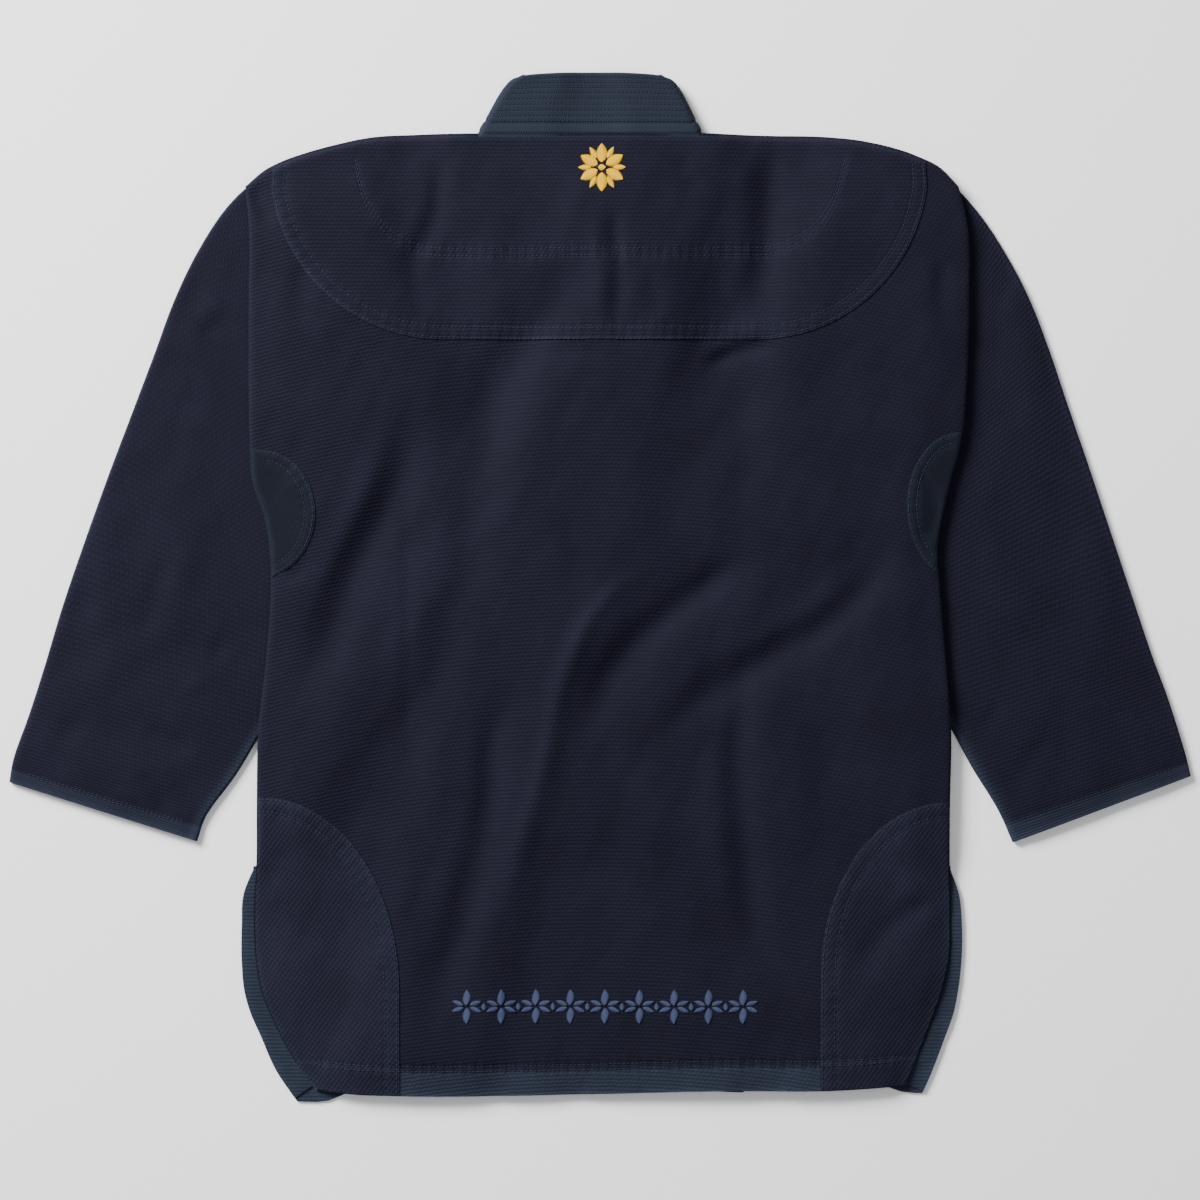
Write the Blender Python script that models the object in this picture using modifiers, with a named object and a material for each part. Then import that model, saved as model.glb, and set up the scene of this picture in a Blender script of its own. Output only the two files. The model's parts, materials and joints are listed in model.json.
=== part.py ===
"""Jiu-jitsu gi jacket, laid flat on its front with its back up.

The jacket lies as it does when it is spread on a table: the sleeves lowest and tucked under the
sides, then the left front with its lapel, the right front lapped over it with its lapel, and the
back panel over both.  Every cloth piece is a wall of its real thickness.  A piece is laid after
what is under it, and takes its height from the pieces that already lie there.

Sizes are in millimetres and are turned into metres where a mesh is written.  X runs across the
back with the wearer's right at +X, Y runs up to the collar, Z is up from the floor.  The origin is
on the floor under the middle of the jacket.
"""
import math
from collections import namedtuple

import bmesh
import bpy
import numpy as np
from mathutils import Vector
from mathutils.bvhtree import BVHTree

MM = 0.001

# Thickness of the pieces
CLOTH = 1.8
PATCH = 1.2
TAPE = 1.1
BAND = 5.0

# Space left between pieces that touch, and at a seam
LAID_GAP = 0.4
SEAM_GAP = 0.3

# Back panel and the shape of its edges
NECK_LEFT = -100.0
NECK_RIGHT = 84.0
NECK_SEAM_Y = 369.5
NECK_MARGIN = 8.0
EDGE_ROUND = 8.0
EDGE_RISE = 2.0
EDGE_STEPS = (0.0, 2.5, 8.0)
CELL = 24.0
LOFT = 3.6
LOFT_REACH = 45.0

# Sleeves
SLEEVE_HEIGHT = 5.2
SLEEVE_LOFT = 2.2
SLEEVE_RINGS = 19
SLEEVE_TOP_COLUMNS = 9
SLEEVE_UNDER_COLUMNS = 5
TUCK_X = 300.0
TUCK_REACH = 60.0

# Collar band: the strip round the neck that runs down both fronts
BAND_WIDTH = 47.0
BAND_COLUMNS = 5
FOLD_RADIUS = 3.6
FOLD_TURNS = 5
FOLD_BULGE = 3.5
NECK_ROWS = 9
NECK_SAG = 2.6
NECK_BULGE = 2.6
LAPEL_STEP = 34.0
LAPEL_SLOPE = 0.27
LAPEL_START = 24.0
HEM_FRONT_Y = -413.0

# Vent tape on the inner side of the fronts
TAPE_WIDTH = 22.0
TAPE_TOP_Y = -229.0
TAPE_ROWS = 11

# Raster on which the heights of laid pieces are kept
RASTER_STEP = 4.0
RASTER_X = 516.0
RASTER_Y = 452.0
HIGH = 100.0

NAVY_CLOTH = (0.016, 0.017, 0.036)
TEAL_NAVY = (0.028, 0.042, 0.062)

Sides = namedtuple("Sides", "y left right")
Edge = namedtuple("Edge", "x y")
Ring = namedtuple("Ring", "outer_x outer_y inner_x inner_y")
Fold = namedtuple("Fold", "path half_width rise")
Ellipse = namedtuple("Ellipse", "x y across along")

# Side edges of the back panel, from the shoulder to the hem
BACK_SIDES = (
    Sides(327.0, -290.0, 293.0),
    Sides(296.0, -287.0, 300.0),
    Sides(235.0, -287.0, 302.0),
    Sides(165.0, -287.0, 300.0),
    Sides(115.0, -286.0, 295.0),
    Sides(84.0, -284.0, 286.5),
    Sides(60.0, -275.5, 281.0),
    Sides(33.0, -270.5, 276.5),
    Sides(0.0, -269.0, 278.0),
    Sides(-60.0, -273.0, 283.0),
    Sides(-123.0, -279.5, 287.0),
    Sides(-180.0, -280.5, 286.0),
    Sides(-225.0, -281.0, 286.0),
    Sides(-266.0, -283.5, 287.0),
    Sides(-305.0, -282.0, 286.0),
    Sides(-331.0, -277.5, 280.0),
    Sides(-357.0, -267.0, 271.0),
    Sides(-385.0, -252.0, 260.0),
    Sides(-412.0, -233.0, 248.0),
)

# Shoulder and neck line, from the left armhole to the right one
SHOULDERS = (
    Edge(-290.0, 326.0),
    Edge(-274.0, 339.5),
    Edge(-261.0, 346.0),
    Edge(-240.0, 353.5),
    Edge(-215.0, 360.5),
    Edge(-190.0, 366.0),
    Edge(-148.0, 369.0),
    Edge(NECK_LEFT, NECK_SEAM_Y),
    Edge(NECK_LEFT + 8.0, NECK_SEAM_Y),
    Edge(NECK_RIGHT - 8.0, NECK_SEAM_Y),
    Edge(NECK_RIGHT, NECK_SEAM_Y),
    Edge(140.0, 368.0),
    Edge(182.0, 367.0),
    Edge(216.0, 363.0),
    Edge(238.0, 358.0),
    Edge(260.0, 350.5),
    Edge(280.0, 340.0),
    Edge(293.0, 326.0),
)

BACK_HEM = (
    Edge(-233.0, -412.0),
    Edge(-200.0, -415.5),
    Edge(-168.0, -416.5),
    Edge(0.0, -415.0),
    Edge(90.0, -412.5),
    Edge(192.0, -412.0),
    Edge(248.0, -408.5),
)

# Side edges of the fronts below the vents, which stand out past the back panel
FRONT_VENTS = (
    Sides(-232.0, -284.0, 287.0),
    Sides(-250.0, -291.5, 293.5),
    Sides(-278.0, -293.5, 296.5),
    Sides(-308.0, -293.5, 296.0),
    Sides(-333.0, -291.0, 293.0),
    Sides(-350.0, -286.0, 289.5),
    Sides(-368.0, -278.0, 283.0),
    Sides(-397.0, -265.0, 272.0),
    Sides(-422.0, -248.0, 261.0),
)
FRONT_INSET = 1.2
FRONT_HEM_LEFT = (
    Edge(-248.0, -422.0),
    Edge(-222.0, -421.0),
    Edge(-204.0, HEM_FRONT_Y),
    Edge(118.0, HEM_FRONT_Y),
)
FRONT_HEM_RIGHT = (
    Edge(-134.0, -410.0),
    Edge(236.0, -410.0),
    Edge(250.0, -414.5),
    Edge(262.0, -415.0),
)

# Sleeves as pairs of edge points, from the cuff to the armhole tucked under the side
SLEEVE_LEFT = (
    Ring(-484.0, -160.0, -330.0, -208.5),
    Ring(-480.0, -139.0, -321.5, -186.0),
    Ring(-467.5, -104.0, -298.0, -154.0),
    Ring(-455.0, -65.0, -277.0, -119.0),
    Ring(-440.0, -15.0, -251.0, -77.0),
    Ring(-420.5, 42.0, -224.0, -36.0),
    Ring(-401.0, 96.0, -206.0, -4.0),
    Ring(-382.0, 146.0, -198.0, 24.0),
    Ring(-365.0, 191.0, -196.0, 50.0),
    Ring(-349.5, 233.0, -196.5, 74.0),
    Ring(-331.0, 272.0, -198.0, 97.0),
    Ring(-308.0, 308.0, -200.0, 119.0),
    Ring(-284.0, 322.0, -202.0, 140.0),
    Ring(-262.0, 322.0, -204.0, 160.0),
)
SLEEVE_RIGHT = (
    Ring(484.0, -155.0, 338.0, -209.5),
    Ring(478.5, -133.0, 325.5, -182.0),
    Ring(465.5, -92.0, 304.0, -147.0),
    Ring(452.5, -57.0, 285.0, -112.0),
    Ring(437.0, -11.0, 258.0, -72.0),
    Ring(419.0, 43.0, 231.0, -34.0),
    Ring(401.0, 97.0, 212.0, -4.0),
    Ring(383.5, 148.0, 203.0, 24.0),
    Ring(368.0, 194.0, 200.0, 50.0),
    Ring(352.5, 234.0, 200.5, 74.0),
    Ring(334.5, 269.0, 202.0, 97.0),
    Ring(311.0, 305.0, 204.0, 119.0),
    Ring(286.0, 322.0, 206.0, 140.0),
    Ring(264.0, 322.0, 208.0, 160.0),
)

# Ends of the fold lines at which the collar band turns under, at its seam edge and its free edge
FOLD_LEFT = (Edge(-94.0, 371.0), Edge(-60.0, 418.0))
FOLD_RIGHT = (Edge(78.0, 371.0), Edge(47.0, 418.0))

# Largest folds of the back panel: troughs fall, ridges rise
BACK_FOLDS = (
    Fold(((135, 362), (125, 292), (111, 218), (82, 161), (54, 112)), 24.0, -3.6),
    Fold(((-15, 288), (-57, 210), (-107, 153), (-140, 105), (-172, 55), (-205, -3), (-246, -77)), 28.0, -3.6),
    Fold(((90, 22), (16, -27), (-28, -77), (-52, -160), (-82, -257), (-107, -320)), 22.0, 2.6),
    Fold(((130, 28), (80, 2), (42, -30), (12, -72), (-8, -130)), 22.0, -3.6),
    Fold(((248, 41), (189, -3), (123, -52), (74, -110)), 24.0, -3.2),
    Fold(((104, -71), (94, -142), (92, -196), (111, -273), (123, -330)), 22.0, -3.4),
    Fold(((-85, -70), (-96, -146), (-116, -230), (-131, -364)), 22.0, -3.4),
    Fold(((-159, 273), (-153, 210), (-153, 155), (-190, 70)), 22.0, -2.6),
)
SLEEVE_LEFT_FOLDS = (
    Fold(((-350, 200), (-385, 80), (-410, -30)), 26.0, -1.6),
    Fold(((-300, -60), (-340, -75), (-395, -70)), 18.0, -1.8),
    Fold(((-330, -140), (-400, -120), (-440, -100)), 16.0, -1.4),
)
SLEEVE_RIGHT_FOLDS = (
    Fold(((340, 180), (372, 60), (400, -40)), 26.0, -1.6),
    Fold(((320, 40), (350, -20), (365, -90)), 20.0, -1.4),
    Fold(((345, -150), (400, -125), (450, -95)), 16.0, -1.4),
)

# Edges of what is sewn on the back panel
YOKE_CORNERS = (Ellipse(-130.0, 345.0, 140.0, 143.0), Ellipse(130.0, 345.0, 138.0, 143.0))
ARMPIT_LEFT = Ellipse(-277.0, 60.0, 44.5, 52.0)
ARMPIT_RIGHT = Ellipse(293.0, 66.0, 43.0, 60.0)
SKIRT_LEFT = Ellipse(-276.0, -330.0, 112.0, 158.0)
SKIRT_RIGHT = Ellipse(284.0, -318.0, 104.0, 142.0)
ARC_STEPS = 10
FAR = 40.0


def smooth(xs, ys, x):
    """Cubic curve through the points (xs, ys), read at x; xs rises."""
    xs, ys, x = np.asarray(xs, float), np.asarray(ys, float), np.asarray(x, float)
    slope = np.gradient(ys, xs)
    i = np.clip(np.searchsorted(xs, x, side="right") - 1, 0, len(xs) - 2)
    step = xs[i + 1] - xs[i]
    t = np.clip((x - xs[i]) / step, 0.0, 1.0)
    keep = 2 * t**3 - 3 * t**2 + 1
    return (keep * ys[i] + (t**3 - 2 * t**2 + t) * step * slope[i]
            + (1 - keep) * ys[i + 1] + (t**3 - t**2) * step * slope[i + 1])


def ease(t):
    """0 to 1, flat at both ends."""
    t = np.clip(t, 0.0, 1.0)
    return t * t * (3 - 2 * t)


def side_x(table, column, y):
    """X of a side edge at height y."""
    rows = sorted(table, key=lambda row: row.y)
    return smooth([row.y for row in rows], [getattr(row, column) for row in rows], y)


def edge_y(table, x):
    """Y of an edge that runs across, at x."""
    return smooth([row.x for row in table], [row.y for row in table], x)


def path_distance(path, x, y):
    """Distance from each (x, y) to a path, and how far along it the nearest point is, 0 to 1."""
    path = np.asarray(path, float)
    lengths = np.hypot(*(path[1:] - path[:-1]).T)
    total = lengths.sum()
    best = np.full(np.shape(x), np.inf)
    along = np.zeros(np.shape(x))
    start = 0.0
    for a, b, length in zip(path[:-1], path[1:], lengths):
        direction = (b - a) / length
        run = np.clip((x - a[0]) * direction[0] + (y - a[1]) * direction[1], 0, length)
        gap = np.hypot(x - a[0] - run * direction[0], y - a[1] - run * direction[1])
        nearer = gap < best
        best = np.where(nearer, gap, best)
        along = np.where(nearer, (start + run) / total, along)
        start += length
    return best, along


def relief(folds, x, y):
    """Sum of the folds at each (x, y): soft across, and dying out at both ends."""
    rise = np.zeros(np.shape(x))
    for fold in folds:
        gap, along = path_distance(fold.path, x, y)
        ends = ease(along * 5) * ease((1 - along) * 5)
        rise = rise + fold.rise * np.exp(-(gap / fold.half_width) ** 2) * (0.25 + 0.75 * ends)
    return rise


def spread(first, last, step, steps_first=(), steps_last=()):
    """Stations from first to last: the given small steps at the ends, even ones of about step between."""
    start = first + (steps_first[-1] if steps_first else 0.0)
    stop = last - (steps_last[-1] if steps_last else 0.0)
    even = np.linspace(start, stop, max(2, round((stop - start) / step) + 1))
    head = [first + s for s in steps_first[:-1]]
    tail = [last - s for s in reversed(steps_last[:-1])]
    return np.array(head + list(even) + tail)


def coons(top, bottom, left, right, u, v):
    """Grid of plan points inside four edges, each a function of 0 to 1 that gives (x, y)."""
    uu, vv = np.meshgrid(u, v)
    corner = [np.array(edge(t), float) for edge, t in ((top, 0), (top, 1), (bottom, 0), (bottom, 1))]
    x_y = []
    for axis in (0, 1):
        across = (1 - vv) * top(uu)[axis] + vv * bottom(uu)[axis]
        down = (1 - uu) * left(vv)[axis] + uu * right(vv)[axis]
        twist = ((1 - uu) * (1 - vv) * corner[0][axis] + uu * (1 - vv) * corner[1][axis]
                 + (1 - uu) * vv * corner[2][axis] + uu * vv * corner[3][axis])
        x_y.append(across + down - twist)
    return x_y


class Floor:
    """Heights that the next piece may come down to, on a raster over the floor."""

    def __init__(self):
        self.xs = np.arange(-RASTER_X, RASTER_X + 1, RASTER_STEP)
        self.ys = np.arange(-RASTER_Y, RASTER_Y + 1, RASTER_STEP)
        self.low = np.zeros((len(self.ys), len(self.xs)))

    def lay(self, piece, below_y=RASTER_Y):
        """Take in the top of a finished piece, as far up as below_y."""
        depsgraph = bpy.context.evaluated_depsgraph_get()
        tree = BVHTree.FromObject(piece, depsgraph)
        for row, y in enumerate(self.ys[self.ys < below_y]):
            for column, x in enumerate(self.xs):
                hit = tree.ray_cast(Vector((x, y, HIGH)) * MM, Vector((0, 0, -1)))[0]
                if hit is not None:
                    self.low[row, column] = max(self.low[row, column], hit.z / MM + LAID_GAP)

    def under(self, x, y, reach, soft):
        """Lowest height at each (x, y) for cloth that bridges reach and bends over soft."""
        high = self.low.copy()
        cells = int(math.ceil((reach + soft) / RASTER_STEP))
        for dy in range(-cells, cells + 1):
            half = int(math.sqrt(cells**2 - dy**2))
            for dx in range(-half, half + 1):
                high = np.maximum(high, shifted(self.low, dx, dy))
        blur = int(round(soft / RASTER_STEP))
        weights = np.hanning(2 * blur + 3)[1:-1]
        weights /= weights.sum()
        for axis in (0, 1):
            moved = (shifted(high, *((0, k) if axis == 0 else (k, 0))) for k in range(-blur, blur + 1))
            high = sum(weight * layer for weight, layer in zip(weights, moved))
        return self.read(high, x, y)

    def read(self, field, x, y):
        """Field at each (x, y), between raster points."""
        column = np.clip((np.asarray(x) + RASTER_X) / RASTER_STEP, 0, len(self.xs) - 1.001)
        row = np.clip((np.asarray(y) + RASTER_Y) / RASTER_STEP, 0, len(self.ys) - 1.001)
        c, r = column.astype(int), row.astype(int)
        p, q = column - c, row - r
        return ((1 - p) * (1 - q) * field[r, c] + p * (1 - q) * field[r, c + 1]
                + (1 - p) * q * field[r + 1, c] + p * q * field[r + 1, c + 1])


def shifted(field, dx, dy):
    """Field moved by whole cells, with its edge values repeated."""
    rows = np.clip(np.arange(field.shape[0]) + dy, 0, field.shape[0] - 1)
    columns = np.clip(np.arange(field.shape[1]) + dx, 0, field.shape[1] - 1)
    return field[np.ix_(rows, columns)]


def clear_scene():
    for old in list(bpy.data.objects):
        bpy.data.objects.remove(old, do_unlink=True)


def collection(name):
    made = bpy.data.collections.new(name)
    bpy.context.scene.collection.children.link(made)
    return made


def cloth_material(name, colour, roughness):
    material = bpy.data.materials.new(name)
    material.use_nodes = True
    shader = material.node_tree.nodes["Principled BSDF"]
    shader.inputs["Base Color"].default_value = (*colour, 1.0)
    shader.inputs["Roughness"].default_value = roughness
    shader.inputs["Metallic"].default_value = 0.0
    return material


def grid_object(name, points, colour, group, tube=False):
    """Open sheet whose points are a grid of rows and columns; a tube joins the last column to the first."""
    rows, columns = points.shape[:2]
    bm = bmesh.new()
    bmesh.ops.create_grid(bm, x_segments=columns - 1, y_segments=rows - 1, size=1.0)
    for vertex, place in zip(bm.verts, points.reshape(-1, 3)):
        vertex.co = Vector(place) * MM
    bmesh.ops.triangulate(bm, faces=bm.faces, quad_method="FIXED")
    if tube:
        bmesh.ops.remove_doubles(bm, verts=bm.verts, dist=0.00001)
    mesh = bpy.data.meshes.new(name)
    bm.to_mesh(mesh)
    bm.free()
    mesh.shade_smooth()
    mesh.materials.append(cloth_material(name, colour, 0.85))
    made = bpy.data.objects.new(name, mesh)
    group.objects.link(made)
    return made


def add_wall(piece, thickness, offset=-1.0, even=True):
    """Give an open sheet its thickness, inward from its outer face unless offset says otherwise."""
    wall = piece.modifiers.new("wall", "SOLIDIFY")
    wall.thickness = thickness * MM
    wall.offset = offset
    wall.use_even_offset = even
    return piece


def grid_normals(points):
    """Unit normals of a grid of points, upwards where it lies flat."""
    along_rows = np.gradient(points, axis=0)
    along_columns = np.gradient(points, axis=1)
    normal = np.cross(along_columns, along_rows)
    return normal / np.linalg.norm(normal, axis=2, keepdims=True)


def rounded_rim(distance):
    """0 at an edge to 1 where the cloth has turned level, as a quarter round."""
    t = np.clip(distance / EDGE_ROUND, 0.0, 1.0)
    return np.sqrt(1 - (1 - t) ** 2)


def sleeve_points(table, folds):
    """Rings of a flattened tube: level below, turned at both edges, and softly raised on top."""
    stations = np.linspace(0, 1, len(table))
    rings = np.linspace(0, 1, SLEEVE_RINGS)
    outer = np.stack([smooth(stations, [getattr(row, name) for row in table], rings)
                      for name in ("outer_x", "outer_y")], axis=1)
    inner = np.stack([smooth(stations, [getattr(row, name) for row in table], rings)
                      for name in ("inner_x", "inner_y")], axis=1)
    radius = SLEEVE_HEIGHT / 2
    turns = np.radians((-90, -45, 0, 45, 90))
    rows = []
    for ring, (a, b) in enumerate(zip(outer, inner)):
        width = np.hypot(*(b - a))
        across = (b - a) / width
        top = np.linspace(radius, width - radius, SLEEVE_TOP_COLUMNS)
        under = np.linspace(width - radius, radius, SLEEVE_UNDER_COLUMNS)
        profile = [(radius - radius * math.cos(t), radius + radius * math.sin(t)) for t in turns[1:-1]]
        profile += [(run, SLEEVE_HEIGHT) for run in top]
        profile += [(width - radius + radius * math.cos(t), radius + radius * math.sin(t))
                    for t in reversed(turns[1:-1])]
        profile += [(run, 0.0) for run in under]
        profile.append(profile[0])
        points = np.array([(*(a + across * run), z) for run, z in profile])
        is_top = np.isclose(points[:, 2], SLEEVE_HEIGHT)
        edge = np.array([min(run, width - run) for run, z in profile])
        tucked = ease((abs(points[:, 0]) - TUCK_X) / TUCK_REACH)
        cuff = 0.35 + 0.65 * ease(rings[ring] / 0.12)
        raised = np.clip(SLEEVE_LOFT + relief(folds, points[:, 0], points[:, 1]), 0, None)
        points[:, 2] += np.where(is_top, raised * ease(edge / LOFT_REACH) * tucked * cuff, 0.0)
        rows.append(points)
    return np.array(rows)


def make_sleeve(name, table, folds, group):
    points = sleeve_points(table, folds)
    if table[0].outer_x > 0:
        points = points[:, ::-1]
    return add_wall(grid_object(name, points, NAVY_CLOTH, group, tube=True), CLOTH, even=False)


def lapel_seam(fold, hem_y, t):
    """Points on the line where a front joins its lapel, from the neck to the hem, for t from 0 to 1."""
    start = fold[0]
    inward = -math.copysign(1.0, start.x)
    y = start.y - SEAM_GAP * 5 + (hem_y - start.y) * np.asarray(t, float)
    return start.x + inward * LAPEL_SLOPE * (start.y - y), y


def front_points(side, floor):
    """Plan and height of a front panel: side edge, shoulder, lapel seam and hem."""
    left = side == "left"
    fold = FOLD_LEFT if left else FOLD_RIGHT
    outward = -1.0 if left else 1.0
    hem = FRONT_HEM_LEFT if left else FRONT_HEM_RIGHT
    upper = [row for row in BACK_SIDES if row.y > TAPE_TOP_Y]
    inset = [row._replace(left=row.left + FRONT_INSET, right=row.right - FRONT_INSET) for row in upper]
    table = inset + list(FRONT_VENTS)
    top_y, low_y = table[0].y - FRONT_INSET, table[-1].y if left else hem[-1].y
    seam_x, seam_y = lapel_seam(fold, HEM_FRONT_Y if left else hem[0].y, np.array((0.0, 1.0)))
    seam_x = seam_x + outward * SEAM_GAP

    def outer(t):
        y = top_y + (low_y - top_y) * np.asarray(t, float)
        return side_x(table, side, y), y

    def inner(t):
        t = np.asarray(t, float)
        return seam_x[0] + (seam_x[1] - seam_x[0]) * t, seam_y[0] + (seam_y[1] - seam_y[0]) * t

    def shoulder(t):
        x = outer(0)[0] + (seam_x[0] - outer(0)[0]) * np.asarray(t, float)
        return x, edge_y(SHOULDERS, x) - FRONT_INSET

    def hem_edge(t):
        x = outer(1)[0] + (seam_x[1] - outer(1)[0]) * np.asarray(t, float)
        return x, edge_y(hem, x)

    v = spread(0.0, 1.0, 30.0 / 740.0)
    u = spread(0.0, 1.0, 1.0 / 12.0)
    x, y = coons(shoulder, hem_edge, outer, inner, u, v)
    z = floor.under(x, y, 36.0, 12.0) + CLOTH
    points = np.stack([x, y, z], axis=2)
    return points[::-1] if left else points[::-1, ::-1]


def make_front(side, floor, group):
    return add_wall(grid_object("front_panel_" + side, front_points(side, floor), NAVY_CLOTH, group), CLOTH)


def fold_rows(fold):
    """Rows of the collar band round one fold, from the neck part above to the lapel below."""
    seam, free = np.array(fold[0], float), np.array(fold[1], float)
    along = (free - seam) / np.hypot(*(free - seam))
    outward = np.array((-along[1], along[0])) if seam[0] < 0 else np.array((along[1], -along[0]))
    middle = FOLD_RADIUS + BAND / 2
    rows = []
    for turn in np.linspace(0, math.pi, FOLD_TURNS):
        row = []
        for t in np.linspace(0, 1, BAND_COLUMNS):
            bulge = FOLD_BULGE * math.sin(math.pi * t**1.6)
            place = seam + (free - seam) * t + outward * (bulge + FOLD_RADIUS * math.sin(turn))
            row.append((*place, middle + FOLD_RADIUS * math.cos(turn)))
        rows.append(row)
    return np.array(rows)


def neck_points():
    """Collar band behind the neck with its two turned ends and the first stretch of each lapel."""
    left, right = fold_rows(FOLD_LEFT), fold_rows(FOLD_RIGHT)
    middle = []
    for t in np.linspace(0, 1, NECK_ROWS)[1:-1]:
        row = left[0] * (1 - t) + right[0] * t
        row[:, 1] += NECK_BULGE * math.sin(math.pi * t) * np.linspace(0, 1, BAND_COLUMNS)
        row[:, 2] -= NECK_SAG * ease((min(t, 1 - t) - 0.26) / 0.2)
        middle.append(row)
    under_left = lapel_rows(FOLD_LEFT, (LAPEL_START / 2, LAPEL_START - SEAM_GAP))
    under_right = lapel_rows(FOLD_RIGHT, (LAPEL_START / 2, LAPEL_START - SEAM_GAP))
    under_left[:, :, 2] = under_right[:, :, 2] = BAND / 2
    return np.concatenate([under_left[::-1], left[::-1], middle, right, under_right])


def lapel_rows(fold, distances):
    """Rows across a lapel at given distances down its seam from the fold, flat in plan."""
    seam, free = np.array(fold[0], float), np.array(fold[1], float)
    inward = -math.copysign(1.0, seam[0])
    down = np.array((inward * LAPEL_SLOPE, -1.0))
    down /= np.hypot(*down)
    square = np.array((-down[1], down[0])) * inward
    lag = np.dot(free - seam, -down)
    folded_width = np.dot(free - seam, square)
    rows = []
    for distance in distances:
        turned = ease(distance / (2 * LAPEL_START))
        width = folded_width + (BAND_WIDTH - folded_width) * turned
        row = []
        for t in np.linspace(0, 1, BAND_COLUMNS):
            bulge = FOLD_BULGE * math.sin(math.pi * t**1.6) * (1 - turned)
            place = seam + down * (distance - lag * t * (1 - turned)) + square * (width * t - bulge)
            row.append((*place, 0.0))
        rows.append(row)
    return np.array(rows)


def make_lapel(name, fold, hem_y, floor, group):
    """One end of the collar band, from below the fold to the hem."""
    seam_top = np.array(fold[0], float)
    length = (seam_top[1] - hem_y) * math.hypot(1.0, LAPEL_SLOPE)
    points = lapel_rows(fold, spread(LAPEL_START, length, LAPEL_STEP))
    free_run = np.clip((points[:, :, 1] - hem_y) / LAPEL_STEP, None, 0)
    points[:, :, 1] -= free_run * LAPEL_STEP
    points[:, :, 2] = floor.under(points[:, :, 0], points[:, :, 1], LAPEL_STEP, 12.0) + BAND / 2
    if fold[0].x > 0:
        points = points[:, ::-1]
    return add_wall(grid_object(name, points[::-1], TEAL_NAVY, group), BAND, offset=0.0)


def make_neck(group):
    points = neck_points()
    return add_wall(grid_object("collar_neck", points.transpose(1, 0, 2), TEAL_NAVY, group), BAND, offset=0.0)


def make_tape(side, floor, group):
    """Tape along the vent edge of a front, on its inner side."""
    inward = 1.0 if side == "left" else -1.0
    low_y = FRONT_HEM_LEFT[1].y + 2 if side == "left" else FRONT_HEM_RIGHT[2].y + 1
    y = np.linspace(TAPE_TOP_Y, low_y, TAPE_ROWS)
    edge = side_x(FRONT_VENTS, side, y)
    slope = np.gradient(edge, y)
    normal = np.stack([np.ones_like(y), -slope], axis=1) * inward
    normal /= np.linalg.norm(normal, axis=1, keepdims=True)
    rows = []
    for t in (0.0, 0.5, 1.0):
        plan = np.stack([edge, y], axis=1) + normal * TAPE_WIDTH * t
        plan[:, 1] = np.clip(plan[:, 1], y[-1], None)
        rows.append(plan)
    plan = np.stack(rows, axis=1)
    z = floor.under(plan[:, :, 0], plan[:, :, 1], 8.0, 8.0) + TAPE
    points = np.concatenate([plan, z[:, :, None]], axis=2)[::-1]
    if side == "right":
        points = points[:, ::-1]
    return add_wall(grid_object("vent_tape_" + side, points, TEAL_NAVY, group), TAPE)


def back_points(floor):
    """Outer face of the back panel: plan inside its four edges, laid over the fronts, with its folds."""
    top_y = BACK_SIDES[0].y
    low_left, low_right = BACK_HEM[0], BACK_HEM[-1]

    def left(t):
        y = top_y + (low_left.y - top_y) * np.asarray(t, float)
        return side_x(BACK_SIDES, "left", y), y

    def right(t):
        y = top_y + (low_right.y - top_y) * np.asarray(t, float)
        return side_x(BACK_SIDES, "right", y), y

    def shoulder(t):
        x = SHOULDERS[0].x + (SHOULDERS[-1].x - SHOULDERS[0].x) * np.asarray(t, float)
        return x, edge_y(SHOULDERS, x)

    def hem(t):
        x = low_left.x + (low_right.x - low_left.x) * np.asarray(t, float)
        return x, edge_y(BACK_HEM, x)

    width = SHOULDERS[-1].x - SHOULDERS[0].x
    length = SHOULDERS[0].y - low_left.y
    u = spread(0.0, width, CELL, EDGE_STEPS, EDGE_STEPS) / width
    v = spread(0.0, length, CELL, EDGE_STEPS, (0.0, 6.0)) / length
    x, y = coons(shoulder, hem, left, right, u, v)
    uu, vv = np.meshgrid(u * width, v * length)
    from_side = np.minimum(uu, width - uu)
    from_top, from_hem = vv, length - vv

    past_neck = np.maximum(NECK_LEFT - x, x - NECK_RIGHT)
    folded_over = ease((past_neck - NECK_MARGIN) / NECK_MARGIN)
    below_vent = ease((TAPE_TOP_Y + 20.0 - y) / 30.0)
    side_rim = rounded_rim(from_side) * (1 - below_vent) + below_vent
    top_rim = rounded_rim(from_top) * folded_over + (1 - folded_over)
    rim = side_rim * top_rim

    lofted = ease(from_side / LOFT_REACH) * ease(from_top / LOFT_REACH) * ease(from_hem / LOFT_REACH)
    raised = np.clip(LOFT + relief(BACK_FOLDS, x, y), 0, None) * lofted
    lowest = floor.under(x, y, CELL, 12.0) + CLOTH
    z = lowest + (EDGE_RISE * (1 - below_vent * 0.8) + raised) * rim
    return np.stack([x, y, z], axis=2)[::-1]


def arc(ellipse, start, stop):
    """Points on an ellipse from one angle to another, in degrees."""
    angles = np.radians(np.linspace(start, stop, ARC_STEPS))
    return [(ellipse.x + ellipse.across * math.cos(a), ellipse.y + ellipse.along * math.sin(a)) for a in angles]


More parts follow.
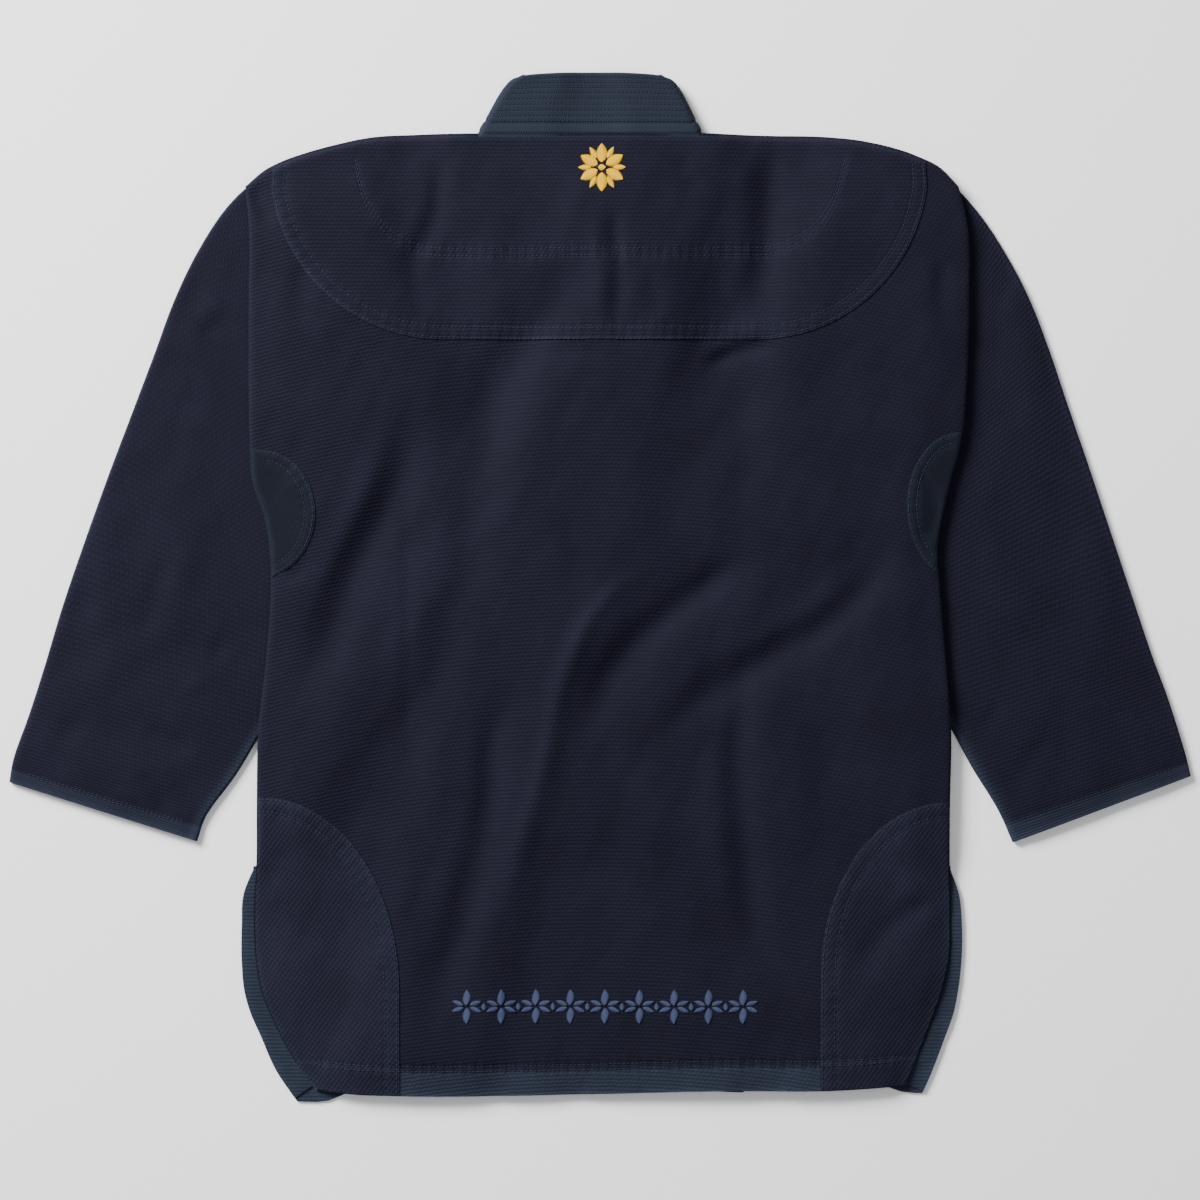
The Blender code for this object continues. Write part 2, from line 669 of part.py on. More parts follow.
def prism(name, outline, cutters):
    """Upright block over a closed plan outline, for keeping one region of a sheet."""
    curve = bpy.data.curves.new(name, "CURVE")
    curve.dimensions = "2D"
    curve.fill_mode = "BOTH"
    curve.extrude = HIGH / 2 * MM
    spline = curve.splines.new("POLY")
    spline.points.add(len(outline) - 1)
    for point, (x, y) in zip(spline.points, outline):
        point.co = (x * MM, y * MM, 0.0, 1.0)
    spline.use_cyclic_u = True
    source = bpy.data.objects.new(name, curve)
    cutters.objects.link(source)
    mesh = bpy.data.meshes.new_from_object(source.evaluated_get(bpy.context.evaluated_depsgraph_get()))
    bm = bmesh.new()
    bm.from_mesh(mesh)
    bmesh.ops.remove_doubles(bm, verts=bm.verts, dist=0.00001)
    bmesh.ops.recalc_face_normals(bm, faces=bm.faces)
    bm.to_mesh(mesh)
    bm.free()
    bpy.data.objects.remove(source, do_unlink=True)
    block = bpy.data.objects.new(name, mesh)
    block.hide_render = True
    block.display_type = "WIRE"
    cutters.objects.link(block)
    return block


def sewn_on(name, panel, outline, colour, group, cutters):
    """Piece sewn on the panel: the panel's own points moved out, kept inside an outline."""
    moved = panel + grid_normals(panel) * (SEAM_GAP + PATCH)
    xs, ys = zip(*outline)
    near = ((moved[:, :, 0] > min(xs) - FAR) & (moved[:, :, 0] < max(xs) + FAR)
            & (moved[:, :, 1] > min(ys) - FAR) & (moved[:, :, 1] < max(ys) + FAR))
    rows, columns = np.where(near.any(axis=1))[0], np.where(near.any(axis=0))[0]
    region = moved[rows[0]:rows[-1] + 1, columns[0]:columns[-1] + 1]
    piece = add_wall(grid_object(name, region, colour, group), PATCH)
    keep = piece.modifiers.new("outline", "BOOLEAN")
    keep.operation = "INTERSECT"
    keep.object = prism(name + "_outline", outline, cutters)
    return piece


def yoke_outline():
    left, right = YOKE_CORNERS
    bottom = arc(left, 188, 270) + arc(right, 270, 352)
    return bottom + [(bottom[-1][0], left.y + FAR), (bottom[0][0], left.y + FAR)]


def make_jacket():
    clear_scene()
    group = collection("gi_jacket")
    cutters = collection("cutters")
    floor = Floor()

    for name, table, folds in (("sleeve_left", SLEEVE_LEFT, SLEEVE_LEFT_FOLDS),
                               ("sleeve_right", SLEEVE_RIGHT, SLEEVE_RIGHT_FOLDS)):
        floor.lay(make_sleeve(name, table, folds, group))

    for side, fold in (("left", FOLD_LEFT), ("right", FOLD_RIGHT)):
        lapel = make_lapel("lapel_" + side, fold, HEM_FRONT_Y, floor, group)
        floor.lay(make_front(side, floor, group))
        floor.lay(lapel)
    floor.lay(make_neck(group), NECK_SEAM_Y)
    for side in ("left", "right"):
        floor.lay(make_tape(side, floor, group))

    panel = back_points(floor)
    add_wall(grid_object("back_panel", panel, NAVY_CLOTH, group), CLOTH)

    sewn_on("shoulder_yoke", panel, yoke_outline(), NAVY_CLOTH, group, cutters)
    sewn_on("armpit_patch_left", panel, arc(ARMPIT_LEFT, 0, 324), TEAL_NAVY, group, cutters)
    sewn_on("armpit_patch_right", panel, arc(ARMPIT_RIGHT, 0, 324), TEAL_NAVY, group, cutters)
    hem_y = BACK_HEM[0].y - FAR
    for name, corner, stop in (("skirt_patch_left", SKIRT_LEFT, 0), ("skirt_patch_right", SKIRT_RIGHT, 180)):
        curve = arc(corner, 90, stop)
        outer_x = corner.x + math.copysign(FAR, corner.x)
        outline = [(outer_x, curve[0][1])] + curve + [(curve[-1][0], hem_y), (outer_x, hem_y)]
        sewn_on(name, panel, outline, NAVY_CLOTH, group, cutters)


make_jacket()
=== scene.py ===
"""Jiu-jitsu gi jacket, laid flat on its front with its back up: cloth, seams, stitching and embroidery."""

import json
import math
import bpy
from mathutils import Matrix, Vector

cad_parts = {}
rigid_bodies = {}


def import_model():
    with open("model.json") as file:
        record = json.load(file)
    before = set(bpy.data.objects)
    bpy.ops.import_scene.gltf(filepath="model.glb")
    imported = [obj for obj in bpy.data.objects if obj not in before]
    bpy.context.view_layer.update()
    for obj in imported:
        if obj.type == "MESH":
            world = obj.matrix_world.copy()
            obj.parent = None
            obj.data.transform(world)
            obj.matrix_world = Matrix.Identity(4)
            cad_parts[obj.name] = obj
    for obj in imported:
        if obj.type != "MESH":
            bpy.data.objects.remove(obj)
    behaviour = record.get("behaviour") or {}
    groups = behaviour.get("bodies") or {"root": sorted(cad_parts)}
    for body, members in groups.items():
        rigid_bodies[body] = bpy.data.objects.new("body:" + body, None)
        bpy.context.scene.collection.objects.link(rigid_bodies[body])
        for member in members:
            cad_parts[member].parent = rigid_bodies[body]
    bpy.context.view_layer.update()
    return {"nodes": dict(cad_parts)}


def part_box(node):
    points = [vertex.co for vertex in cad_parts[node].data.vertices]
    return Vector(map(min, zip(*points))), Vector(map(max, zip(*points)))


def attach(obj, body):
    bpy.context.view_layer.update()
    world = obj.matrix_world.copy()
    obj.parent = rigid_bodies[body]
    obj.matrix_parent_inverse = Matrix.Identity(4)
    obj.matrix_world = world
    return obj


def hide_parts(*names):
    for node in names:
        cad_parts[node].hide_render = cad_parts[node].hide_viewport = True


bl_info = {
    "name": "Jiu-jitsu Gi Jacket",
    "version": (1, 0, 0),
    "blender": (4, 5, 0),
    "location": "View3D > Sidebar > Gi Jacket",
    "description": "Builds the cloth, stitching and embroidery of a jiu-jitsu gi jacket laid flat",
    "category": "Object",
}

from collections import namedtuple

import bpy
import numpy as np
from mathutils import Vector
from mathutils.bvhtree import BVHTree

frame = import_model()

MM = 0.001

Sides = namedtuple("Sides", "y left right")
Edge = namedtuple("Edge", "x y")
Ring = namedtuple("Ring", "outer_x outer_y inner_x inner_y")
Crease = namedtuple("Crease", "path half_width rise")
Ellipse = namedtuple("Ellipse", "x y across along")

# Back panel's side edges, from the shoulder to the hem, in millimetres as all these tables
BACK_SIDES = (
    Sides(327.0, -290.0, 293.0),
    Sides(296.0, -287.0, 300.0),
    Sides(235.0, -287.0, 302.0),
    Sides(165.0, -287.0, 300.0),
    Sides(115.0, -286.0, 295.0),
    Sides(84.0, -284.0, 286.5),
    Sides(60.0, -275.5, 281.0),
    Sides(33.0, -270.5, 276.5),
    Sides(0.0, -269.0, 278.0),
    Sides(-60.0, -273.0, 283.0),
    Sides(-123.0, -279.5, 287.0),
    Sides(-180.0, -280.5, 286.0),
    Sides(-225.0, -281.0, 286.0),
    Sides(-266.0, -283.5, 287.0),
    Sides(-305.0, -282.0, 286.0),
    Sides(-331.0, -277.5, 280.0),
    Sides(-357.0, -267.0, 271.0),
    Sides(-385.0, -252.0, 260.0),
    Sides(-412.0, -233.0, 248.0),
)
NECK_LEFT = -100.0
NECK_RIGHT = 84.0
NECK_SEAM_Y = 369.5
SHOULDERS = (
    Edge(-290.0, 326.0),
    Edge(-274.0, 339.5),
    Edge(-261.0, 346.0),
    Edge(-240.0, 353.5),
    Edge(-215.0, 360.5),
    Edge(-190.0, 366.0),
    Edge(-148.0, 369.0),
    Edge(NECK_LEFT, NECK_SEAM_Y),
    Edge(NECK_LEFT + 8.0, NECK_SEAM_Y),
    Edge(NECK_RIGHT - 8.0, NECK_SEAM_Y),
    Edge(NECK_RIGHT, NECK_SEAM_Y),
    Edge(140.0, 368.0),
    Edge(182.0, 367.0),
    Edge(216.0, 363.0),
    Edge(238.0, 358.0),
    Edge(260.0, 350.5),
    Edge(280.0, 340.0),
    Edge(293.0, 326.0),
)
BACK_HEM = (
    Edge(-233.0, -412.0),
    Edge(-200.0, -415.5),
    Edge(-168.0, -416.5),
    Edge(0.0, -415.0),
    Edge(90.0, -412.5),
    Edge(192.0, -412.0),
    Edge(248.0, -408.5),
)

# Fronts below the vents, and their hems
FRONT_VENTS = (
    Sides(-232.0, -284.0, 287.0),
    Sides(-250.0, -291.5, 293.5),
    Sides(-278.0, -293.5, 296.5),
    Sides(-308.0, -293.5, 296.0),
    Sides(-333.0, -291.0, 293.0),
    Sides(-350.0, -286.0, 289.5),
    Sides(-368.0, -278.0, 283.0),
    Sides(-397.0, -265.0, 272.0),
    Sides(-422.0, -248.0, 261.0),
)
FRONT_INSET = 1.2
HEM_FRONT_Y = -413.0
FRONT_HEM_LEFT = (
    Edge(-248.0, -422.0),
    Edge(-222.0, -421.0),
    Edge(-204.0, HEM_FRONT_Y),
    Edge(118.0, HEM_FRONT_Y),
)
FRONT_HEM_RIGHT = (
    Edge(-134.0, -410.0),
    Edge(236.0, -410.0),
    Edge(250.0, -414.5),
    Edge(262.0, -415.0),
)
TAPE_WIDTH = 22.0
TAPE_TOP_Y = -229.0

# Sleeves as pairs of edge points, from the cuff to the armhole tucked under the side
SLEEVE_LEFT = (
    Ring(-484.0, -160.0, -330.0, -208.5),
    Ring(-480.0, -139.0, -321.5, -186.0),
    Ring(-467.5, -104.0, -298.0, -154.0),
    Ring(-455.0, -65.0, -277.0, -119.0),
    Ring(-440.0, -15.0, -251.0, -77.0),
    Ring(-420.5, 42.0, -224.0, -36.0),
    Ring(-401.0, 96.0, -206.0, -4.0),
    Ring(-382.0, 146.0, -198.0, 24.0),
    Ring(-365.0, 191.0, -196.0, 50.0),
    Ring(-349.5, 233.0, -196.5, 74.0),
    Ring(-331.0, 272.0, -198.0, 97.0),
    Ring(-308.0, 308.0, -200.0, 119.0),
    Ring(-284.0, 331.0, -202.0, 140.0),
    Ring(-262.0, 338.0, -204.0, 160.0),
)
SLEEVE_RIGHT = (
    Ring(484.0, -155.0, 338.0, -209.5),
    Ring(478.5, -133.0, 325.5, -182.0),
    Ring(465.5, -92.0, 304.0, -147.0),
    Ring(452.5, -57.0, 285.0, -112.0),
    Ring(437.0, -11.0, 258.0, -72.0),
    Ring(419.0, 43.0, 231.0, -34.0),
    Ring(401.0, 97.0, 212.0, -4.0),
    Ring(383.5, 148.0, 203.0, 24.0),
    Ring(368.0, 194.0, 200.0, 50.0),
    Ring(352.5, 234.0, 200.5, 74.0),
    Ring(334.5, 269.0, 202.0, 97.0),
    Ring(311.0, 305.0, 204.0, 119.0),
    Ring(286.0, 331.0, 206.0, 140.0),
    Ring(264.0, 338.0, 208.0, 160.0),
)

SLEEVE_LENGTH = 470.0
SLEEVE_WIDTH = 190.0
CUFF_ROWS_AT = (17.0, 20.5)

# Collar band: where it folds under, and its run down the fronts
FOLD_LEFT = (Edge(-94.0, 371.0), Edge(-60.0, 418.0))
FOLD_RIGHT = (Edge(78.0, 371.0), Edge(47.0, 418.0))
BAND = 5.0
BAND_WIDTH = 47.0
BAND_TUCK = 5.0
BAND_RIM = (0.0, 0.3, 0.9, 1.6)
FOLD_RADIUS = 3.6
FOLD_BULGE = 3.5
NECK_SAG = 2.6
LAPEL_SLOPE = 0.27
LAPEL_START = 24.0
BAND_ROWS_AT = (8.6, 12.6, 16.8, 21.0, 25.2, 29.4, 33.6, 37.8, 42.0)

# Pieces sewn on the back
YOKE_CORNERS = (Ellipse(-130.0, 345.0, 140.0, 143.0), Ellipse(130.0, 345.0, 138.0, 143.0))
ARMPIT_LEFT = Ellipse(-277.0, 60.0, 44.5, 52.0)
ARMPIT_RIGHT = Ellipse(293.0, 66.0, 43.0, 60.0)
SKIRT_LEFT = Ellipse(-276.0, -330.0, 112.0, 158.0)
SKIRT_RIGHT = Ellipse(284.0, -318.0, 104.0, 142.0)
ROSETTE_AT = Edge(1.6, 342.0)
BORDER_AT = Edge(4.0, -343.0)
INNER_YOKE_LINE = (
    Edge(-200.0, 349.0),
    Edge(-191.0, 318.0),
    Edge(-172.0, 292.0),
    Edge(-150.0, 280.0),
    Edge(-103.0, 276.0),
    Edge(-20.0, 276.5),
    Edge(103.0, 277.0),
    Edge(150.0, 281.0),
    Edge(172.0, 293.0),
    Edge(191.0, 319.0),
    Edge(200.0, 349.0),
)

# Folds of the back, as seen in the photo: troughs fall, ridges rise
BACK_CREASES = (
    Crease(((142, 366), (138, 288), (131, 209)), 12.0, -3.9),
    Crease(((118, 360), (115, 288), (106, 220)), 12.0, 1.6),
    Crease(((131, 171), (107, 139), (80, 105), (56, 76)), 15.0, -2.4),
    Crease(((0, 297), (-24, 252), (-67, 181), (-109, 96)), 17.0, -2.6),
    Crease(((-33, 292), (-73, 229), (-115, 165)), 16.0, 1.3),
    Crease(((-148, 145), (-169, 77), (-201, 13), (-224, -55), (-251, -113)), 14.0, -4.2),
    Crease(((-172, 135), (-193, 77), (-222, 14), (-243, -39)), 12.0, 1.7),
    Crease(((-109, 64), (-140, -10), (-167, -84)), 18.0, 1.8),
    Crease(((-131, 359), (-136, 301), (-151, 267), (-146, 211)), 8.0, -2.6),
    Crease(((9, 323), (15, 259), (13, 193)), 6.0, -2.2),
    Crease(((-5, 312), (-1, 259), (2, 201)), 7.0, 1.6),
    Crease(((-56, 192), (12, 191)), 5.0, -1.0),
    Crease(((82, 178), (113, 192), (149, 198)), 6.0, -3.0),
    Crease(((80, 188), (110, 204), (146, 210)), 9.0, 1.4),
    Crease(((131, 31), (68, -13), (21, -55), (-6, -102), (-17, -134)), 12.0, -3.8),
    Crease(((56, 26), (3, -11), (-28, -69), (-43, -133), (-65, -212), (-87, -291)), 8.0, 2.2),
    Crease(((246, 36), (195, -24), (143, -55), (95, -84), (48, -124), (16, -169)), 13.0, -3.6),
    Crease(((211, 24), (164, -24), (111, -55), (69, -82)), 13.0, 1.4),
    Crease(((120, -44), (113, -134), (118, -213), (137, -303), (169, -359)), 12.0, -3.6),
    Crease(((95, -113), (92, -187), (100, -266)), 12.0, 1.2),
    Crease(((-60, -71), (-85, -118), (-90, -187), (-109, -266), (-138, -345), (-149, -393)), 12.0, -2.8),
    Crease(((-100, -108), (-111, -177), (-129, -256), (-150, -325)), 13.0, 1.2),
    Crease(((-273, 27), (-256, 7), (-232, 26)), 5.0, -1.5),
    Crease(((283, -252), (244, -271), (207, -320)), 9.0, -1.8),
    Crease(((-274, -254), (-229, -302)), 8.0, -1.2),
    Crease(((-267, -178), (-245, -233)), 9.0, -1.3),
    Crease(((155, 184), (184, 168), (215, 149), (258, 131)), 10.0, -1.5),
    Crease(((278, 272), (280, 203)), 8.0, -2.0),
    Crease(((-157, 101), (-158, -26), (-157, -163)), 5.0, -0.8),
    Crease(((-245, 269), (-244, 205)), 9.0, -1.6),
    Crease(((-285, 330), (-268, 294)), 6.0, -2.2),
    Crease(((64, 353), (77, 316)), 8.0, -1.4),
    Crease(((-27, 67), (-19, 14), (-35, -23)), 12.0, -1.4),
    Crease(((-4, -109), (17, -178), (-4, -257)), 16.0, -1.3),
    Crease(((40, 261), (48, 217)), 7.0, -1.1),
    Crease(((261, 101), (274, 59), (261, 27)), 5.0, -1.3),
    Crease(((-191, 352), (-164, 299), (-159, 236)), 12.0, -1.1),
)
SLEEVE_LEFT_CREASES = (
    Crease(((-296, 285), (-295, 215), (-295, 140), (-283, 60)), 8.0, -2.0),
    Crease(((-332, 206), (-307, 214), (-284, 220)), 8.0, -1.7),
    Crease(((-330, 222), (-305, 231)), 9.0, 0.9),
    Crease(((-322, -60), (-300, -47), (-272, -52)), 7.0, -2.4),
    Crease(((-330, -46), (-306, -31), (-280, -33)), 8.0, 1.2),
    Crease(((-345, -88), (-318, -76), (-296, -86)), 9.0, 1.2),
    Crease(((-372, -112), (-348, -130), (-330, -136)), 8.0, -1.4),
    Crease(((-377, -149), (-362, -170), (-352, -190)), 6.0, -1.6),
    Crease(((-352, 26), (-366, -14), (-374, -48)), 9.0, -1.3),
    Crease(((-338, 40), (-345, 0), (-350, -30)), 12.0, 1.1),
    Crease(((-418, 5), (-425, -45), (-405, -85)), 14.0, -1.4),
    Crease(((-330, 170), (-350, 110), (-352, 60)), 14.0, -1.1),
    Crease(((-395, 70), (-408, 10), (-402, -50)), 13.0, 1.1),
    Crease(((-312, 280), (-335, 235), (-340, 190)), 10.0, -0.9),
    Crease(((-420, -105), (-440, -130), (-436, -160)), 10.0, -1.0),
)
SLEEVE_RIGHT_CREASES = (
    Crease(((308, 318), (320, 285), (316, 235), (308, 190), (302, 130), (290, 70)), 16.0, -3.3),
    Crease(((300, 160), (322, 146), (352, 150)), 13.0, -1.8),
    Crease(((332, 250), (352, 205), (362, 150)), 13.0, 1.2),
    Crease(((330, -90), (318, -110), (300, -124)), 7.0, -1.1),
    Crease(((372, -118), (350, -146), (338, -176)), 8.0, -1.0),
    Crease(((318, 84), (345, 50), (372, -10)), 15.0, -1.3),
    Crease(((300, 40), (330, 10), (352, -50)), 15.0, 1.2),
    Crease(((398, 60), (414, 0), (406, -60)), 14.0, 1.1),
    Crease(((352, -60), (392, -85), (430, -84)), 14.0, -1.1),
    Crease(((345, 250), (368, 190), (376, 140)), 10.0, -0.9),
)


def smooth(xs, ys, x):
    """Cubic curve through the points (xs, ys), read at x; xs rises."""
    xs, ys, x = np.asarray(xs, float), np.asarray(ys, float), np.asarray(x, float)
    slope = np.gradient(ys, xs)
    i = np.clip(np.searchsorted(xs, x, side="right") - 1, 0, len(xs) - 2)
    step = xs[i + 1] - xs[i]
    t = np.clip((x - xs[i]) / step, 0.0, 1.0)
    keep = 2 * t**3 - 3 * t**2 + 1
    return (keep * ys[i] + (t**3 - 2 * t**2 + t) * step * slope[i]
            + (1 - keep) * ys[i + 1] + (t**3 - t**2) * step * slope[i + 1])


def ease(t):
    """0 to 1, flat at both ends."""
    t = np.clip(t, 0.0, 1.0)
    return t * t * (3 - 2 * t)


def side_x(table, column, y):
    """X of a side edge at height y."""
    rows = sorted(table, key=lambda row: row.y)
    return smooth([row.y for row in rows], [getattr(row, column) for row in rows], y)


def edge_y(table, x):
    """Y of an edge that runs across, at x."""
    return smooth([row.x for row in table], [row.y for row in table], x)


def curve_through(points, step=4.0):
    """Evenly spaced points, about step apart, on a smooth line through a few points."""
    points = np.asarray(points, float)
    run = np.concatenate([[0], np.cumsum(np.hypot(*np.diff(points[:, :2], axis=0).T))])
    if len(points) == 2:
        fine = np.linspace(0, run[-1], 9)
        line = np.stack([np.interp(fine, run, column) for column in points.T], axis=1)
    else:
        fine = np.linspace(0, run[-1], 16 * len(points))
        line = np.stack([smooth(run, column, fine) for column in points.T], axis=1)
    run = np.concatenate([[0], np.cumsum(np.linalg.norm(np.diff(line, axis=0), axis=1))])
    even = np.linspace(0, run[-1], max(2, int(round(run[-1] / step)) + 1))
    return np.stack([np.interp(even, run, column) for column in line.T], axis=1)


def path_distance(path, x, y):
    """Distance from each (x, y) to a path, and how far along it the nearest point is, 0 to 1."""
    path = np.asarray(path, float)
    lengths = np.hypot(*(path[1:] - path[:-1]).T)
    total = lengths.sum()
    best = np.full(np.shape(x), np.inf)
    along = np.zeros(np.shape(x))
    start = 0.0
    for a, b, length in zip(path[:-1], path[1:], lengths):
        direction = (b - a) / length
        run = np.clip((x - a[0]) * direction[0] + (y - a[1]) * direction[1], 0, length)
        gap = np.hypot(x - a[0] - run * direction[0], y - a[1] - run * direction[1])
        nearer = gap < best
        best = np.where(nearer, gap, best)
        along = np.where(nearer, (start + run) / total, along)
        start += length
    return best, along


def nearest_line(lines, x, y):
    """Distance from each (x, y) to the nearest of several lines."""
    nearest = np.full(np.shape(x), np.inf)
    for line in lines:
        nearest = np.minimum(nearest, path_distance(line, x, y)[0])
    return nearest


def creased(table, x, y):
    """Sum of the creases at each (x, y): soft across, wider at one end, and dying out at both."""
    rise = np.zeros(np.shape(x))
    for crease in table:
        gap, along = path_distance(curve_through(crease.path, 9.0), x, y)
        width = crease.half_width * (0.8 + 0.5 * along)
        rise = rise + crease.rise * np.exp(-(gap / width) ** 2) * ease(along * 4) * ease((1 - along) * 3)
    return rise


def ripple(x, y, seed, shortest, longest, waves=9):
    """Uneven low waves of many directions, between about -1 and 1."""
    random = np.random.default_rng(seed)
    total = np.zeros(np.shape(x))
    for _ in range(waves):
        angle, phase = random.uniform(0, math.pi), random.uniform(0, 2 * math.pi)
        length = random.uniform(shortest, longest)
        total = total + np.sin((x * math.cos(angle) + y * math.sin(angle)) * 2 * math.pi / length + phase)
    return total / math.sqrt(waves)


def rounded_rim(distance, radius):
    """0 at an edge to 1 where the surface has turned level, as a quarter round."""
    t = np.clip(distance / radius, 0.0, 1.0)
    return np.sqrt(1 - (1 - t) ** 2)


def arc(ellipse, start, stop, inset=0.0, steps=24):
    """Points on an ellipse from one angle to another, in degrees."""
    angles = np.radians(np.linspace(start, stop, steps))
    across, along = ellipse.across - inset, ellipse.along - inset
    return [(ellipse.x + across * math.cos(a), ellipse.y + along * math.sin(a)) for a in angles]


def tree_of(piece):
    """Search tree over a piece's faces as its mesh stands, shown or hidden."""
    mesh = piece.data
    corners = [vertex.co for vertex in mesh.vertices]
    return BVHTree.FromPolygons(corners, [face.vertices for face in mesh.polygons])


class Heights:
    """Top of some of the solids, in millimetres, on a raster that can be read anywhere."""

    def __init__(self, nodes, soft, trusted=None, step=3.0):
        boxes = [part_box(node) for node in nodes]
        low = [min(box[0][axis] for box in boxes) / MM - 9.0 for axis in (0, 1)]
        high = [max(box[1][axis] for box in boxes) / MM + 9.0 for axis in (0, 1)]
        self.step = step
        self.xs = np.arange(low[0], high[0] + step, step)
        self.ys = np.arange(low[1], high[1] + step, step)
        self.z = self.sampled(nodes)
        if trusted is not None:
            self.z[~trusted(*np.meshgrid(self.xs, self.ys))] = np.nan
        if soft:
            self.fill()
            self.soften(soft)

    def sampled(self, nodes):
        trees = [tree_of(frame["nodes"][node]) for node in nodes]
        z = np.full((len(self.ys), len(self.xs)), np.nan)
        down = Vector((0, 0, -1))
        for row, y in enumerate(self.ys):
            for column, x in enumerate(self.xs):
                for tree in trees:
                    hit = tree.ray_cast(Vector((x * MM, y * MM, 0.1)), down)[0]
                    if hit is not None and not z[row, column] > hit.z / MM:
                        z[row, column] = hit.z / MM
        return z

    def fill(self):
        """Carry the known heights outwards over the empty cells."""
        while np.isnan(self.z).any():
            wide = np.pad(self.z, 1, constant_values=np.nan)
            around = np.stack([wide[:-2, 1:-1], wide[2:, 1:-1], wide[1:-1, :-2], wide[1:-1, 2:]])
            known = ~np.isnan(around)
            mean = np.where(known, around, 0).sum(axis=0) / np.maximum(known.sum(axis=0), 1)
            mean[~known.any(axis=0)] = np.nan
            self.z = np.where(np.isnan(self.z), mean, self.z)

    def soften(self, soft):
        reach = int(math.ceil(2.5 * soft / self.step))
        weights = np.exp(-0.5 * (np.arange(-reach, reach + 1) * self.step / soft) ** 2)
        weights /= weights.sum()
        for axis in (0, 1):
            pad = [(reach, reach) if axis == k else (0, 0) for k in (0, 1)]
            wide = np.pad(self.z, pad, mode="edge")
            self.z = np.apply_along_axis(lambda row: np.convolve(row, weights, mode="valid"), axis, wide)

    def read(self, x, y):
        field = np.nan_to_num(self.z)
        column = np.clip((np.asarray(x, float) - self.xs[0]) / self.step, 0, len(self.xs) - 1.001)
        row = np.clip((np.asarray(y, float) - self.ys[0]) / self.step, 0, len(self.ys) - 1.001)
        c, r = column.astype(int), row.astype(int)
        p, q = column - c, row - r
        return ((1 - p) * (1 - q) * field[r, c] + p * (1 - q) * field[r, c + 1]
                + (1 - p) * q * field[r + 1, c] + p * q * field[r + 1, c + 1])


SURFACES = {}


def surface(name, nodes, soft, trusted=None):
    """The heights of some solids, worked out once."""
    if name not in SURFACES:
        SURFACES[name] = Heights(nodes, soft, trusted)
    return SURFACES[name]


def edge_roll(x, y):
    """How far the back panel has turned down at its side and shoulder edges, 0 to 1."""
    from_side = np.minimum(x - side_x(BACK_SIDES, "left", y), side_x(BACK_SIDES, "right", y) - x)
    from_top = edge_y(SHOULDERS, x) - y
    past_neck = np.maximum(NECK_LEFT - x, x - NECK_RIGHT)
    folded_over = ease((past_neck - 8.0) / 8.0)
    below_vent = ease((TAPE_TOP_Y + 20.0 - y) / 30.0)
    side = rounded_rim(from_side, 7.0) * (1 - below_vent) + below_vent
    top = rounded_rim(from_top, 7.0) * folded_over + (1 - folded_over)
    return 1 - side * top


def well_inside(x, y):
    from_side = np.minimum(x - side_x(BACK_SIDES, "left", y), side_x(BACK_SIDES, "right", y) - x)
    from_top = edge_y(SHOULDERS, x) - y
    return (from_side > 9.0) & (from_top > 9.0)


def hem_lines():
    x = np.linspace(-231.0, 245.0, 60)
    return [np.stack([x, edge_y(BACK_HEM, x) + rise], axis=1) for rise in (20.5, 24.5)]


def inner_yoke_lines():
    line = curve_through(INNER_YOKE_LINE, 6.0)
    return [line, line - np.array((0.0, 6.0))]


def yoke_lines():
    lines = []
    for inset in (2.0, 11.0):
        left, right = YOKE_CORNERS
        path = arc(left, 188, 270, inset) + arc(right, 270, 352, inset)
        start_x, end_x = path[0][0], path[-1][0]
        start = (start_x + 1, edge_y(SHOULDERS, start_x) - 3)
        end = (end_x - 1, edge_y(SHOULDERS, end_x) - 3)
        lines.append(np.array([start] + path + [end]))
    return lines


def armpit_lines(side):
    ellipse, start, stop = (ARMPIT_LEFT, -82, 82) if side == "left" else (ARMPIT_RIGHT, 98, 262)
    lines = []
    for inset in (1.8, 8.5):
        path = np.array(arc(ellipse, start, stop, inset))
        edge = side_x(BACK_SIDES, side, path[:, 1])
        inside = path[:, 0] > edge + 2 if side == "left" else path[:, 0] < edge - 2
        lines.append(path[inside])
    return lines


def skirt_lines(side):
    ellipse, start, stop = (SKIRT_LEFT, 92, 0) if side == "left" else (SKIRT_RIGHT, 88, 180)
    lines = []
    for inset in (2.0, 12.0):
        path = arc(ellipse, start, stop, inset)
        end_x = path[-1][0]
        lines.append(np.array(path + [(end_x, float(edge_y(BACK_HEM, end_x)) + 2.0)]))
    return lines


def stitched(lines, x, y, depth=0.45, half_width=1.5):
    """The groove that each row of stitches pulls into the cloth, with its small puckers."""
    sunk = np.zeros(np.shape(x))
    for line in lines:
        gap, along = path_distance(line, x, y)
        length = np.hypot(*np.diff(line, axis=0).T).sum()
        pucker = 0.22 * np.sin(along * length / 9.0 * 2 * math.pi + 0.05 * x) * np.exp(-(gap / 6.0) ** 2)
        sunk = sunk - depth * np.exp(-(gap / half_width) ** 2) + pucker * 0.5
    return sunk


